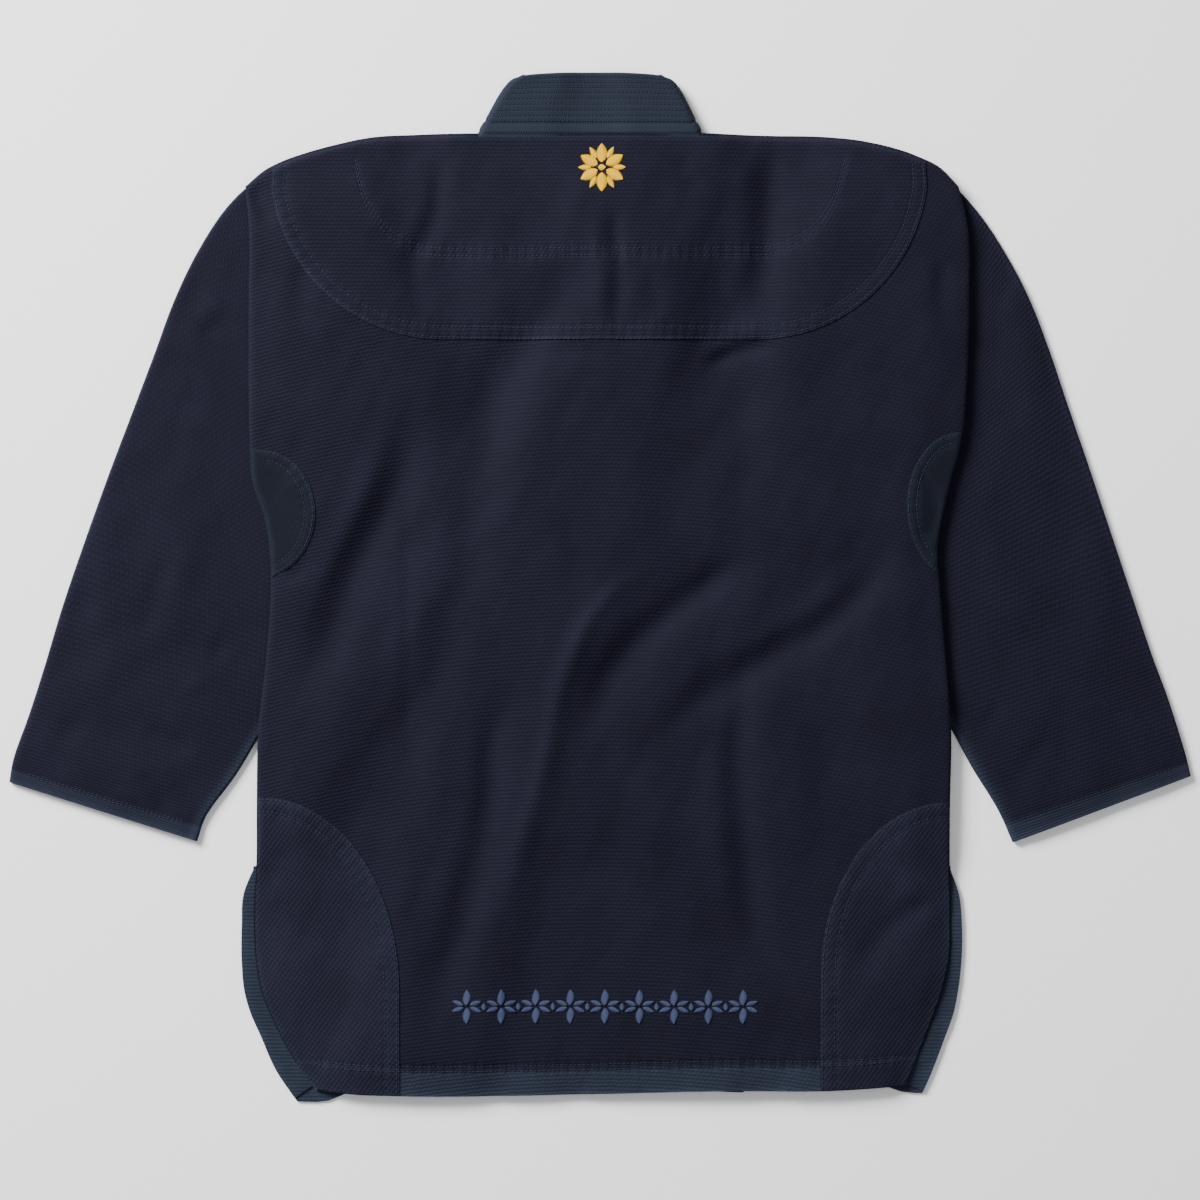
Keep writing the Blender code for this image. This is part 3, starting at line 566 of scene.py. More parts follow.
def back_height(x, y):
    """Height of the back panel's outer face, in millimetres."""
    base = surface("back", ("back_panel",), 6.0, well_inside).read(x, y)
    under = surface("under", ("front_panel_left", "front_panel_right", "collar_neck"), 0.0).read(x, y)
    folds = creased(BACK_CREASES, x, y)
    z = base - 2.2 * edge_roll(x, y) + folds
    z = z + 0.6 * ripple(x, y, 4, 45.0, 110.0) + 0.13 * ripple(x, y, 9, 14.0, 30.0)
    from_side = np.minimum(x - side_x(BACK_SIDES, "left", y), side_x(BACK_SIDES, "right", y) - x)
    z = z - 2.2 * (1 - ease(from_side / 20.0)) * ease((TAPE_TOP_Y + 10.0 - y) / 30.0)
    from_hem = y - edge_y(BACK_HEM, x)
    z = z + 0.7 * ease((23.5 - from_hem) / 2.0) + 0.35 * np.sin(x / 13.0) * ease((22.0 - from_hem) / 20.0)
    return np.maximum(z, under + 2.0 + np.minimum(folds, 0))


def select_only(piece):
    if bpy.context.mode != "OBJECT":
        bpy.ops.object.mode_set(mode="OBJECT")
    bpy.ops.object.select_all(action="DESELECT")
    piece.select_set(True)
    bpy.context.view_layer.objects.active = piece


def vertices_of(piece):
    """Vertex places in millimetres, one row each."""
    flat = np.empty(len(piece.data.vertices) * 3)
    piece.data.vertices.foreach_get("co", flat)
    return flat.reshape(-1, 3) / MM


def place_vertices(piece, points):
    piece.data.vertices.foreach_set("co", (np.asarray(points) * MM).ravel())
    piece.data.update()


def new_grid(name, columns, rows):
    """A grid primitive, and the column and row of each of its vertices."""
    bpy.ops.object.select_all(action="DESELECT")
    bpy.ops.mesh.primitive_grid_add(x_subdivisions=columns, y_subdivisions=rows, size=1.0)
    piece = bpy.context.active_object
    piece.name = piece.data.name = name
    points = vertices_of(piece) * MM
    column = np.rint((points[:, 0] + 0.5) * columns).astype(int)
    row = np.rint((points[:, 1] + 0.5) * rows).astype(int)
    return piece, column, row


def refine(piece, lines, reach=5.0, cuts=2):
    """Subdivide the cells that lie near some lines, so that a groove can follow them."""
    points = vertices_of(piece)
    mesh = piece.data
    middle = np.array([points[list(face.vertices)].mean(axis=0) for face in mesh.polygons])
    near = nearest_line(lines, middle[:, 0], middle[:, 1]) < reach
    mesh.vertices.foreach_set("select", np.zeros(len(mesh.vertices), bool))
    mesh.edges.foreach_set("select", np.zeros(len(mesh.edges), bool))
    mesh.polygons.foreach_set("select", near)
    select_only(piece)
    bpy.context.tool_settings.mesh_select_mode = (False, False, True)
    bpy.ops.object.mode_set(mode="EDIT")
    bpy.ops.mesh.subdivide(number_cuts=cuts)
    bpy.ops.object.mode_set(mode="OBJECT")


def apply_modifier(piece, modifier):
    select_only(piece)
    bpy.ops.object.modifier_apply(modifier=modifier.name)


def add_wall(piece, thickness):
    """Give an open sheet its thickness, inwards from its outer face."""
    select_only(piece)
    wall = piece.modifiers.new("wall", "SOLIDIFY")
    wall.thickness = thickness * MM
    wall.offset = -1.0
    apply_modifier(piece, wall)


def keep_inside(piece, outline):
    """Cut a sheet to a plan outline."""
    bpy.ops.object.select_all(action="DESELECT")
    bpy.ops.mesh.primitive_circle_add(vertices=len(outline), fill_type="NGON")
    block = bpy.context.active_object
    place_vertices(block, [(x, y, -30.0) for x, y in outline])
    bpy.ops.object.mode_set(mode="EDIT")
    bpy.ops.mesh.select_all(action="SELECT")
    bpy.ops.mesh.extrude_region_move(TRANSFORM_OT_translate={"value": (0, 0, 0.09)})
    bpy.ops.mesh.select_all(action="SELECT")
    bpy.ops.mesh.normals_make_consistent(inside=False)
    bpy.ops.object.mode_set(mode="OBJECT")
    select_only(piece)
    cut = piece.modifiers.new("outline", "BOOLEAN")
    cut.operation = "INTERSECT"
    cut.solver = "EXACT"
    cut.object = block
    apply_modifier(piece, cut)
    bpy.data.objects.remove(block, do_unlink=True)


def lay_weave(piece, u, v):
    """Cloth coordinates in metres, one pair for each vertex, as the piece's UV map."""
    mesh = piece.data
    for layer in list(mesh.uv_layers):
        mesh.uv_layers.remove(layer)
    layer = mesh.uv_layers.new(name="weave")
    corner = np.empty(len(mesh.loops), int)
    mesh.loops.foreach_get("vertex_index", corner)
    layer.data.foreach_set("uv", np.stack([u[corner], v[corner]], axis=1).ravel() * MM)


def paint_wear_and_light(piece, wear_and_painted_light):
    """How much the cloth is lightened at each vertex, 0 to 1: real wear, and on the back panel and the fronts
    also painted light.
    """
    attribute = piece.data.attributes.new("wear_and_painted_light", "FLOAT", "POINT")
    attribute.data.foreach_set("value", np.clip(wear_and_painted_light, 0, 1))


def finish_piece(piece, material, slot, nodes=(), angle=50.0):
    select_only(piece)
    bpy.ops.object.shade_smooth_by_angle(angle=math.radians(angle))
    piece.data.materials.clear()
    piece.data.materials.append(material)
    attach(piece, "root")
    if nodes:
        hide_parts(*nodes)
    return piece


def stations(length, cell, near_start=(0.0,), near_end=(0.0,)):
    """Places along a length: small steps given at its ends, even ones of about a cell between."""
    start, stop = near_start[-1], length - near_end[-1]
    even = np.linspace(start, stop, max(2, int(round((stop - start) / cell)) + 1))
    last = [length - s for s in reversed(near_end[:-1])]
    return np.array(list(near_start[:-1]) + list(even) + last) / length


def coons(top, bottom, left, right, u, v):
    """Plan points inside four edges; v is 0 at the top."""
    corner = [np.array(edge(t), float) for edge, t in ((top, 0.0), (top, 1.0), (bottom, 0.0), (bottom, 1.0))]
    x_y = []
    for axis in (0, 1):
        across = (1 - v) * top(u)[axis] + v * bottom(u)[axis]
        down = (1 - u) * left(v)[axis] + u * right(v)[axis]
        twist = ((1 - u) * (1 - v) * corner[0][axis] + u * (1 - v) * corner[1][axis]
                 + (1 - u) * v * corner[2][axis] + u * v * corner[3][axis])
        x_y.append(across + down - twist)
    return x_y


def sheet_on_plan(name, plan, across, down, height, wall, lines=()):
    """A cloth sheet that fills four edges in plan, at the height that a function gives."""
    piece, column, row = new_grid(name, len(across) - 1, len(down) - 1)
    u, v = across[column], down[len(down) - 1 - row]
    x, y = plan(u, v)
    place_vertices(piece, np.stack([x, y, np.zeros_like(x)], axis=1))
    if len(lines):
        refine(piece, lines)
    points = vertices_of(piece)
    points[:, 2] = height(points[:, 0], points[:, 1])
    place_vertices(piece, points)
    add_wall(piece, wall)
    return piece


def node_input(tree, socket, value):
    if isinstance(value, bpy.types.NodeSocket):
        tree.links.new(value, socket)
    else:
        socket.default_value = value


def math_node(tree, operation, first, second=0.0):
    node = tree.nodes.new("ShaderNodeMath")
    node.operation = operation
    node_input(tree, node.inputs[0], first)
    node_input(tree, node.inputs[1], second)
    return node.outputs[0]


def mix_colour(tree, factor, first, second):
    node = tree.nodes.new("ShaderNodeMix")
    node.data_type = "RGBA"
    node_input(tree, node.inputs["Factor"], factor)
    node_input(tree, node.inputs["A"], first)
    node_input(tree, node.inputs["B"], second)
    return node.outputs["Result"]


def noise(tree, coordinates, scale, detail=2.0, roughness=0.5):
    node = tree.nodes.new("ShaderNodeTexNoise")
    node.inputs["Scale"].default_value = scale
    node.inputs["Detail"].default_value = detail
    node.inputs["Roughness"].default_value = roughness
    tree.links.new(coordinates, node.inputs["Vector"])
    return node.outputs["Fac"]


def shade(colour, amount):
    return (*[channel * amount for channel in colour[:3]], 1.0)


def weave_coordinates(tree, across, along, turn):
    """The piece's cloth coordinates, and its place in the weave counted in repeats."""
    uv = tree.nodes.new("ShaderNodeUVMap")
    uv.uv_map = "weave"
    mapping = tree.nodes.new("ShaderNodeMapping")
    mapping.vector_type = "TEXTURE"
    mapping.inputs["Rotation"].default_value = (0.0, 0.0, turn)
    mapping.inputs["Scale"].default_value = (across * MM, along * MM, 1.0)
    tree.links.new(uv.outputs["UV"], mapping.inputs["Vector"])
    separate = tree.nodes.new("ShaderNodeSeparateXYZ")
    tree.links.new(mapping.outputs["Vector"], separate.inputs["Vector"])
    return uv.outputs["UV"], separate.outputs["X"], separate.outputs["Y"]


def wave(tree, repeats, drift):
    """Sine of a count of repeats, drifted a little so that the yarns aren't ruled."""
    turns = math_node(tree, "ADD", repeats, drift)
    return math_node(tree, "SINE", math_node(tree, "MULTIPLY", turns, 2 * math.pi))


def woven_cloth(name, colour, worn_and_lit, across, along, turn=0.0, depth=0.35, ribbed=0.0, sheen=0.02):
    """Cotton with raised grains in offset rows, with ribs at half their repeat mixed in, and painted shade in
    the hollows between them.
    """
    if name in bpy.data.materials:
        return bpy.data.materials[name]
    material = bpy.data.materials.new(name)
    material.use_nodes = True
    tree = material.node_tree
    shader = tree.nodes["Principled BSDF"]
    uv, x, y = weave_coordinates(tree, across, along, turn)

    drift = math_node(tree, "MULTIPLY", math_node(tree, "SUBTRACT", noise(tree, uv, 160.0), 0.5), 0.35)
    rows = wave(tree, y, drift)
    grains = math_node(tree, "MULTIPLY", wave(tree, x, drift), rows)
    twice_squared = math_node(tree, "MULTIPLY", math_node(tree, "MULTIPLY", rows, rows), 2.0)
    ribs = math_node(tree, "SUBTRACT", twice_squared, 1.0)
    pattern = math_node(tree, "ADD", math_node(tree, "MULTIPLY", grains, 1.0 - ribbed),
                        math_node(tree, "MULTIPLY", ribs, ribbed))
    raised = math_node(tree, "MULTIPLY_ADD", pattern, 0.5)
    raised.node.inputs[2].default_value = 0.5
    fibres = noise(tree, uv, 1500.0, 3.0, 0.6)
    relief = math_node(tree, "ADD", raised, math_node(tree, "MULTIPLY", fibres, 0.35))

    # Lightened towards the pale colour by the per-vertex attribute: real wear at edges, hems and seams, and
    # painted light on the back panel's fold ridges and along the fronts' hem.
    attribute = tree.nodes.new("ShaderNodeAttribute")
    attribute.attribute_name = "wear_and_painted_light"
    patchy = noise(tree, uv, 22.0, 4.0, 0.6)
    faded_and_lit = math_node(tree, "MULTIPLY", attribute.outputs["Fac"], math_node(tree, "ADD", patchy, 0.5))
    broad = noise(tree, uv, 14.0, 5.0, 0.7)
    body = mix_colour(tree, broad, shade(colour, 0.55), shade(colour, 1.5))
    tops = mix_colour(tree, faded_and_lit, body, (*worn_and_lit[:3], 1.0))
    # Painted shade: the colour is darkened in the hollows between the raised grains and ribs.
    shaded_hollows = mix_colour(tree, 0.42, tops, shade(colour, 0.4))
    yarn = mix_colour(tree, math_node(tree, "MULTIPLY", raised, 1.1), shaded_hollows, tops)
    tree.links.new(yarn, shader.inputs["Base Color"])

    bump = tree.nodes.new("ShaderNodeBump")
    bump.inputs["Strength"].default_value = 1.0
    bump.inputs["Distance"].default_value = depth * MM
    tree.links.new(relief, bump.inputs["Height"])
    tree.links.new(bump.outputs["Normal"], shader.inputs["Normal"])
    rough = math_node(tree, "MULTIPLY_ADD", fibres, 0.2)
    rough.node.inputs[2].default_value = 0.72
    tree.links.new(rough, shader.inputs["Roughness"])
    shader.inputs["Sheen Weight"].default_value = sheen
    shader.inputs["Sheen Roughness"].default_value = 0.45
    shader.inputs["Sheen Tint"].default_value = (0.55, 0.62, 0.85, 1.0)
    shader.inputs["Specular IOR Level"].default_value = 0.1
    return material


def thread(name, colour, roughness):
    """Twisted sewing or embroidery yarn, with painted shade in the grooves of its twist."""
    if name in bpy.data.materials:
        return bpy.data.materials[name]
    material = bpy.data.materials.new(name)
    material.use_nodes = True
    tree = material.node_tree
    shader = tree.nodes["Principled BSDF"]
    coordinates = tree.nodes.new("ShaderNodeTexCoord")
    twist = tree.nodes.new("ShaderNodeTexWave")
    twist.bands_direction = "DIAGONAL"
    twist.inputs["Scale"].default_value = 520.0
    twist.inputs["Distortion"].default_value = 1.5
    tree.links.new(coordinates.outputs["Object"], twist.inputs["Vector"])
    spread = noise(tree, coordinates.outputs["Object"], 90.0)
    tone = mix_colour(tree, spread, shade(colour, 0.8), shade(colour, 1.15))
    # Painted shade: the colour darkens in the grooves of the twist.
    groove_shaded = mix_colour(tree, twist.outputs["Fac"], shade(colour, 0.72), tone)
    tree.links.new(groove_shaded, shader.inputs["Base Color"])
    bump = tree.nodes.new("ShaderNodeBump")
    bump.inputs["Distance"].default_value = 0.1 * MM
    tree.links.new(twist.outputs["Fac"], bump.inputs["Height"])
    tree.links.new(bump.outputs["Normal"], shader.inputs["Normal"])
    shader.inputs["Roughness"].default_value = roughness
    shader.inputs["Specular IOR Level"].default_value = 0.2
    return material


class GiClothSettings(bpy.types.PropertyGroup):
    """Walls, cells and colours of the cloth."""

    wall: bpy.props.FloatProperty(
        name="Cloth", description="Thickness of the body and sleeve cloth",
        default=0.0017, min=0.001, max=0.003, unit="LENGTH", precision=4)
    patch_wall: bpy.props.FloatProperty(
        name="Patches", description="Thickness of the pieces sewn on the back",
        default=0.001, min=0.0005, max=0.002, unit="LENGTH", precision=4)
    cell: bpy.props.FloatProperty(
        name="Cell", description="Size of the cells that the cloth sheets are made of",
        default=0.004, min=0.002, max=0.012, unit="LENGTH", precision=4)
    body_colour: bpy.props.FloatVectorProperty(
        name="Body", description="Dark navy of the body and the sleeves",
        default=(0.0050, 0.0049, 0.0124), min=0.0, max=1.0, subtype="COLOR")
    skirt_colour: bpy.props.FloatVectorProperty(
        name="Skirt patches", description="Navy of the reinforcements at the vents",
        default=(0.0074, 0.0075, 0.0170), min=0.0, max=1.0, subtype="COLOR")
    trim_colour: bpy.props.FloatVectorProperty(
        name="Trim", description="Blue-green navy of the armpit patches and the vent tapes",
        default=(0.0038, 0.0049, 0.0100), min=0.0, max=1.0, subtype="COLOR")
    band_colour: bpy.props.FloatVectorProperty(
        name="Collar band", description="Blue-green navy of the collar band",
        default=(0.0106, 0.0143, 0.0232), min=0.0, max=1.0, subtype="COLOR")
    # The pale colour of worn edges, also used for the painted highlight on fold ridges and the painted light
    # along the fronts' hem.
    worn_and_lit_colour: bpy.props.FloatVectorProperty(
        name="Worn edges", description="Colour that the cloth fades to along its edges",
        default=(0.0200, 0.0270, 0.0430), min=0.0, max=1.0, subtype="COLOR")


class GiStitchSettings(bpy.types.PropertyGroup):
    """Rows of sewing thread."""

    pitch: bpy.props.FloatProperty(
        name="Pitch", description="Distance from one stitch to the next",
        default=0.0036, min=0.002, max=0.008, unit="LENGTH", precision=4)
    length: bpy.props.FloatProperty(
        name="Length", description="Length of one stitch",
        default=0.0031, min=0.001, max=0.008, unit="LENGTH", precision=4)
    width: bpy.props.FloatProperty(
        name="Width", description="Thickness of the sewing thread",
        default=0.0009, min=0.0004, max=0.002, unit="LENGTH", precision=4)
    colour: bpy.props.FloatVectorProperty(
        name="Thread", description="Colour of the sewing thread",
        default=(0.0105, 0.0125, 0.0270), min=0.0, max=1.0, subtype="COLOR")


class GiEmbroiderySettings(bpy.types.PropertyGroup):
    """Satin-stitched ornaments on the back."""

    rosette_size: bpy.props.FloatProperty(
        name="Rosette", description="Width of the rosette below the collar",
        default=0.039, min=0.01, max=0.08, unit="LENGTH", precision=4)
    rosette_colour: bpy.props.FloatVectorProperty(
        name="Rosette thread", description="Golden yellow of the rosette",
        default=(0.80, 0.46, 0.0), min=0.0, max=1.0, subtype="COLOR")
    border_length: bpy.props.FloatProperty(
        name="Border", description="Length of the row of ornaments above the hem",
        default=0.254, min=0.1, max=0.4, unit="LENGTH", precision=4)
    border_height: bpy.props.FloatProperty(
        name="Border height", description="Height of the ornaments above the hem",
        default=0.028, min=0.01, max=0.05, unit="LENGTH", precision=4)
    border_colour: bpy.props.FloatVectorProperty(
        name="Border thread", description="Slate blue of the row above the hem",
        default=(0.038, 0.050, 0.108), min=0.0, max=1.0, subtype="COLOR")


class GiStageSettings(bpy.types.PropertyGroup):
    """Floor, lights and camera."""

    camera_height: bpy.props.FloatProperty(
        name="Camera height", description="Height of the camera over the floor",
        default=3.0, min=1.0, max=10.0, unit="LENGTH")
    view_width: bpy.props.FloatProperty(
        name="View width", description="Width of the floor that the camera sees",
        default=0.984, min=0.5, max=3.0, unit="LENGTH")
    key_power: bpy.props.FloatProperty(
        name="Key light", description="Power of the light from the upper left",
        default=560.0, min=0.0, unit="POWER")
    fill_power: bpy.props.FloatProperty(
        name="Fill light", description="Power of the wide light overhead",
        default=30.0, min=0.0, unit="POWER")
    floor_colour: bpy.props.FloatVectorProperty(
        name="Floor", description="Colour of the floor",
        default=(0.90, 0.90, 0.90), min=0.0, max=1.0, subtype="COLOR")


def body_cloth():
    cloth = bpy.context.scene.gi_cloth
    return woven_cloth("navy_pearl_weave", cloth.body_colour, cloth.worn_and_lit_colour, 3.8, 6.2, ribbed=0.6)


def sleeve_cloth():
    cloth = bpy.context.scene.gi_cloth
    return woven_cloth("navy_pearl_weave_sleeve", cloth.body_colour, cloth.worn_and_lit_colour, 3.8, 6.0, ribbed=0.6)


def skirt_cloth():
    cloth = bpy.context.scene.gi_cloth
    return woven_cloth("navy_diamond_weave", cloth.skirt_colour, cloth.worn_and_lit_colour, 4.6, 4.4,
                       turn=0.18, depth=0.4)


def trim_cloth():
    cloth = bpy.context.scene.gi_cloth
    return woven_cloth("navy_trim_twill", cloth.trim_colour, cloth.worn_and_lit_colour, 2.6, 2.6, turn=0.6, depth=0.2)


def tape_cloth():
    cloth = bpy.context.scene.gi_cloth
    return woven_cloth("navy_ribbed_tape", cloth.trim_colour, cloth.worn_and_lit_colour, 2.4, 6.0,
                       depth=0.25, ribbed=0.8)


def band_cloth():
    cloth = bpy.context.scene.gi_cloth
    return woven_cloth("navy_collar_rib", cloth.band_colour, cloth.worn_and_lit_colour, 2.1, 3.4,
                       depth=0.22, ribbed=0.5)


def sewing_thread():
    stitch = bpy.context.scene.gi_stitch
    return thread("navy_sewing_thread", stitch.colour, 0.6)


class GI_OT_back_panel(bpy.types.Operator):
    """Back panel: one piece from the shoulders to the hem"""

    bl_idname = "gi.back_panel"
    bl_label = "Back panel"

    def execute(self, context):
        cloth = context.scene.gi_cloth
        top, low_left, low_right = BACK_SIDES[0].y, BACK_HEM[0], BACK_HEM[-1]

        def left(t):
            y = top + (low_left.y - top) * t
            return side_x(BACK_SIDES, "left", y), y

        def right(t):
            y = top + (low_right.y - top) * t
            return side_x(BACK_SIDES, "right", y), y

        def shoulder(t):
            x = SHOULDERS[0].x + (SHOULDERS[-1].x - SHOULDERS[0].x) * t
            return x, edge_y(SHOULDERS, x)

        def hem(t):
            x = low_left.x + (low_right.x - low_left.x) * t
            return x, edge_y(BACK_HEM, x)

        cell = cloth.cell / MM
        rolled = (0.0, 0.7, 1.8, 3.4, 6.0)
        piece = sheet_on_plan(
            "back_cloth", lambda u, v: coons(shoulder, hem, left, right, u, v),
            stations(583.0, cell, rolled, rolled), stations(739.0, cell, rolled, (0.0, 1.5, 4.0)),
            lambda x, y: back_height(x, y) + stitched(hem_lines(), x, y),
            cloth.wall / MM, hem_lines())
        x, y, _ = vertices_of(piece).T
        lay_weave(piece, x, y + 0.012 * x * x / 25.0)
        from_hem = y - edge_y(BACK_HEM, x)
        # Wear at the hem and the rolled edges; the crease term is painted light, which makes the ridges of
        # the folds lighter and the troughs darker.
        paint_wear_and_light(piece, 0.65 * ease((22.0 - from_hem) / 4.0) + 0.35 * ease((4.0 - from_hem) / 4.0)
                   + 0.15 * edge_roll(x, y) + 0.05 * creased(BACK_CREASES, x, y))
        finish_piece(piece, body_cloth(), "body_cloth", ["back_panel"])
        return {"FINISHED"}


def sewn_patch(name, outline, lines, material, slot, node, weave_turn=0.0):
    """A piece on the back panel, cut to an outline and sunk along its stitches."""
    cloth = bpy.context.scene.gi_cloth
    wall = cloth.patch_wall / MM
    edge = np.array(list(outline) + [outline[0]])
    low, high = edge.min(axis=0) - 6.0, edge.max(axis=0) + 6.0
    size = high - low
    cell = cloth.cell / MM

    def plan(u, v):
        return low[0] + size[0] * u, high[1] - size[1] * v

    def height(x, y):
        turned = ease(nearest_line([edge], x, y) / 1.8)
        lifted = 0.3 + wall * (0.55 + 0.45 * turned)
        return back_height(x, y) + lifted + stitched(lines, x, y, 0.35)

    piece = sheet_on_plan(name, plan, stations(size[0], cell), stations(size[1], cell), height,
                          wall * 0.9, [edge] + list(lines))
    keep_inside(piece, outline)
    x, y, _ = vertices_of(piece).T
    lay_weave(piece, x, y + weave_turn * x)
    near_edge = nearest_line([edge], x, y)
    near_line = nearest_line(lines, x, y)
    paint_wear_and_light(piece, 0.22 * np.exp(-(near_edge / 3.0) ** 2) + 0.06 * np.exp(-(near_line / 5.0) ** 2))
    finish_piece(piece, material, slot, [node])
    return piece


class GI_OT_shoulder_yoke(bpy.types.Operator):
    """Yoke sewn over the shoulders and the upper back"""

    bl_idname = "gi.shoulder_yoke"
    bl_label = "Shoulder yoke"

    def execute(self, context):
        left, right = YOKE_CORNERS
        bottom = arc(left, 188, 270) + arc(right, 270, 352)
        x = np.linspace(bottom[-1][0] - 1.0, bottom[0][0] + 1.0, 60)
        top = list(zip(x, edge_y(SHOULDERS, x) - 1.2))
        lines = yoke_lines() + inner_yoke_lines()
        piece = sewn_patch("yoke_cloth", bottom + top, lines, body_cloth(), "body_cloth", "shoulder_yoke")
        return {"FINISHED"}


class GI_OT_reinforcements(bpy.types.Operator):
    """Reinforcing patches at the armpits and at the skirt's vents"""

    bl_idname = "gi.reinforcements"
    bl_label = "Reinforcements"

    def execute(self, context):
        for side, ellipse, start, stop in (("left", ARMPIT_LEFT, -88, 88), ("right", ARMPIT_RIGHT, 92, 268)):
            curve = arc(ellipse, start, stop)
            inward = 1.2 if side == "left" else -1.2
            y = np.linspace(curve[-1][1], curve[0][1], 20)
            edge = list(zip(side_x(BACK_SIDES, side, y) + inward, y))
            inside = [point for point in curve
                      if (point[0] - side_x(BACK_SIDES, side, point[1]) - inward) * inward > 0.2]
            piece = sewn_patch("armpit_cloth_" + side, inside + edge, armpit_lines(side), trim_cloth(),
                               "trim_cloth", "armpit_patch_" + side)
        for side, ellipse, start, stop in (("left", SKIRT_LEFT, 90, 0), ("right", SKIRT_RIGHT, 90, 180)):
            curve = arc(ellipse, start, stop)
            inward = 1.2 if side == "left" else -1.2
            low_y = BACK_HEM[0].y if side == "left" else BACK_HEM[-1].y
            x = np.linspace(curve[-1][0], side_x(BACK_SIDES, side, low_y) + inward, 12)
            hem = list(zip(x, edge_y(BACK_HEM, x) + 1.0))
            y = np.linspace(low_y + 4.0, curve[0][1], 26)
            edge = list(zip(side_x(BACK_SIDES, side, y) + inward, y))
            piece = sewn_patch("skirt_cloth_" + side, curve + hem + edge, skirt_lines(side) + hem_lines(),
                               skirt_cloth(), "skirt_cloth", "skirt_patch_" + side)
        return {"FINISHED"}


def sleeve_rings(table, rings):
    places = np.linspace(0, 1, len(table))
    columns = [smooth(places, [getattr(row, name) for row in table], rings) for name in Ring._fields]
    return np.stack(columns[:2], axis=1), np.stack(columns[2:], axis=1)


class GI_OT_sleeves(bpy.types.Operator):
    """Sleeves: flat tubes that are tucked under the sides of the body"""

    bl_idname = "gi.sleeves"
    bl_label = "Sleeves"

    def execute(self, context):
        cloth = context.scene.gi_cloth
        self.make(cloth, "left", SLEEVE_LEFT, SLEEVE_LEFT_CREASES, 21)
        self.make(cloth, "right", SLEEVE_RIGHT, SLEEVE_RIGHT_CREASES, 34)
        return {"FINISHED"}

    def make(self, cloth, side, table, creases, seed):
        node = "sleeve_" + side
        radius = 2.6
        cell = cloth.cell / MM
        down = stations(SLEEVE_LENGTH, cell, (0.0, 1.2), (0.0, 2.0))
        turned = (0.0, 0.25, 0.9, 1.8, 2.8)
        top = stations(SLEEVE_WIDTH, cell, turned, turned)
        under = stations(SLEEVE_WIDTH, 3 * cell, turned, turned)
        around = np.concatenate([top[:-1], under[::-1]])
        upper = np.concatenate([np.ones(len(top) - 1, bool), np.zeros(len(under), bool)])
        piece, column, row = new_grid("sleeve_cloth_" + side, len(around) - 1, len(down) - 1)
        run = down[row]
        outer, inner = sleeve_rings(table, run)
        width = np.hypot(*(inner - outer).T)
        share = around[column]
        place = outer + (inner - outer) * share[:, None]
        x, y = place.T
        from_edge = np.minimum(share, 1 - share) * width

        def inside(px, py):
            ring = np.linspace(0, 1, 60)
            edge_outer, edge_inner = sleeve_rings(table, ring)
            return nearest_line([edge_outer, edge_inner], px, py) > 6.0

        height = surface(node, (node,), 5.0, inside).read(x, y)
        tucked = ease((np.abs(x) - 296.0) / 30.0)
        from_cuff = run * SLEEVE_LENGTH
        height = height + (creased(creases, x, y) + 0.35 * ripple(x, y, seed, 35.0, 90.0)) * tucked
        height = height + 0.5 * ease((21.0 - from_cuff) / 2.0) + self.cuff_rows(from_cuff)
        height = height - np.where(share > 0.5, 0.7 * np.exp(-((from_edge - 8.0) / 1.8) ** 2), 0.0)
        height = np.maximum(height, 4.2)
        rolled = rounded_rim(from_edge, radius)
        lower = radius - (radius - 0.02) * rolled
        z = np.where(upper[column], radius + (height - radius) * rolled, lower)
        z = np.where(upper[column] & (from_edge > 0.01), np.maximum(z, radius), z)
        place_vertices(piece, np.stack([x, y, z], axis=1))
        lay_weave(piece, (share - 0.5) * SLEEVE_WIDTH + np.where(upper[column], 0.0, 400.0), from_cuff)
        wear_and_painted_light = (0.35 * ease((21.0 - from_cuff) / 5.0) + 0.35 * ease((9.0 - from_cuff) / 6.0)
                + 0.25 * np.exp(-(from_edge / 4.0) ** 2))
        seam = np.where(share > 0.5, np.exp(-(from_edge / 7.0) ** 2), 0.0) * ease((150.0 - from_cuff) / 60.0)
        paint_wear_and_light(piece, wear_and_painted_light + 0.5 * seam)
        select_only(piece)
        bpy.ops.object.mode_set(mode="EDIT")
        bpy.ops.mesh.select_all(action="SELECT")
        bpy.ops.mesh.remove_doubles(threshold=0.00001)
        bpy.ops.mesh.normals_make_consistent(inside=False)
        bpy.ops.object.mode_set(mode="OBJECT")
        select_only(piece)
        wall = piece.modifiers.new("wall", "SOLIDIFY")
        wall.thickness = cloth.wall
        wall.offset = -1.0
        wall.use_even_offset = False
        apply_modifier(piece, wall)
        finish_piece(piece, sleeve_cloth(), "body_cloth", [node])

    def cuff_rows(self, from_cuff):
        sunk = np.zeros_like(from_cuff)
        for place in CUFF_ROWS_AT:
            sunk = sunk - 0.4 * np.exp(-((from_cuff - place) / 1.6) ** 2)
        return sunk


def lapel_seam(fold, hem_y, t):
    """Line where a front joins its lapel, from the neck to the hem, for t from 0 to 1."""
    start = fold[0]
    inward = -math.copysign(1.0, start.x)
    y = start.y - 1.5 + (hem_y - start.y) * t
    return start.x + inward * LAPEL_SLOPE * (start.y - y), y


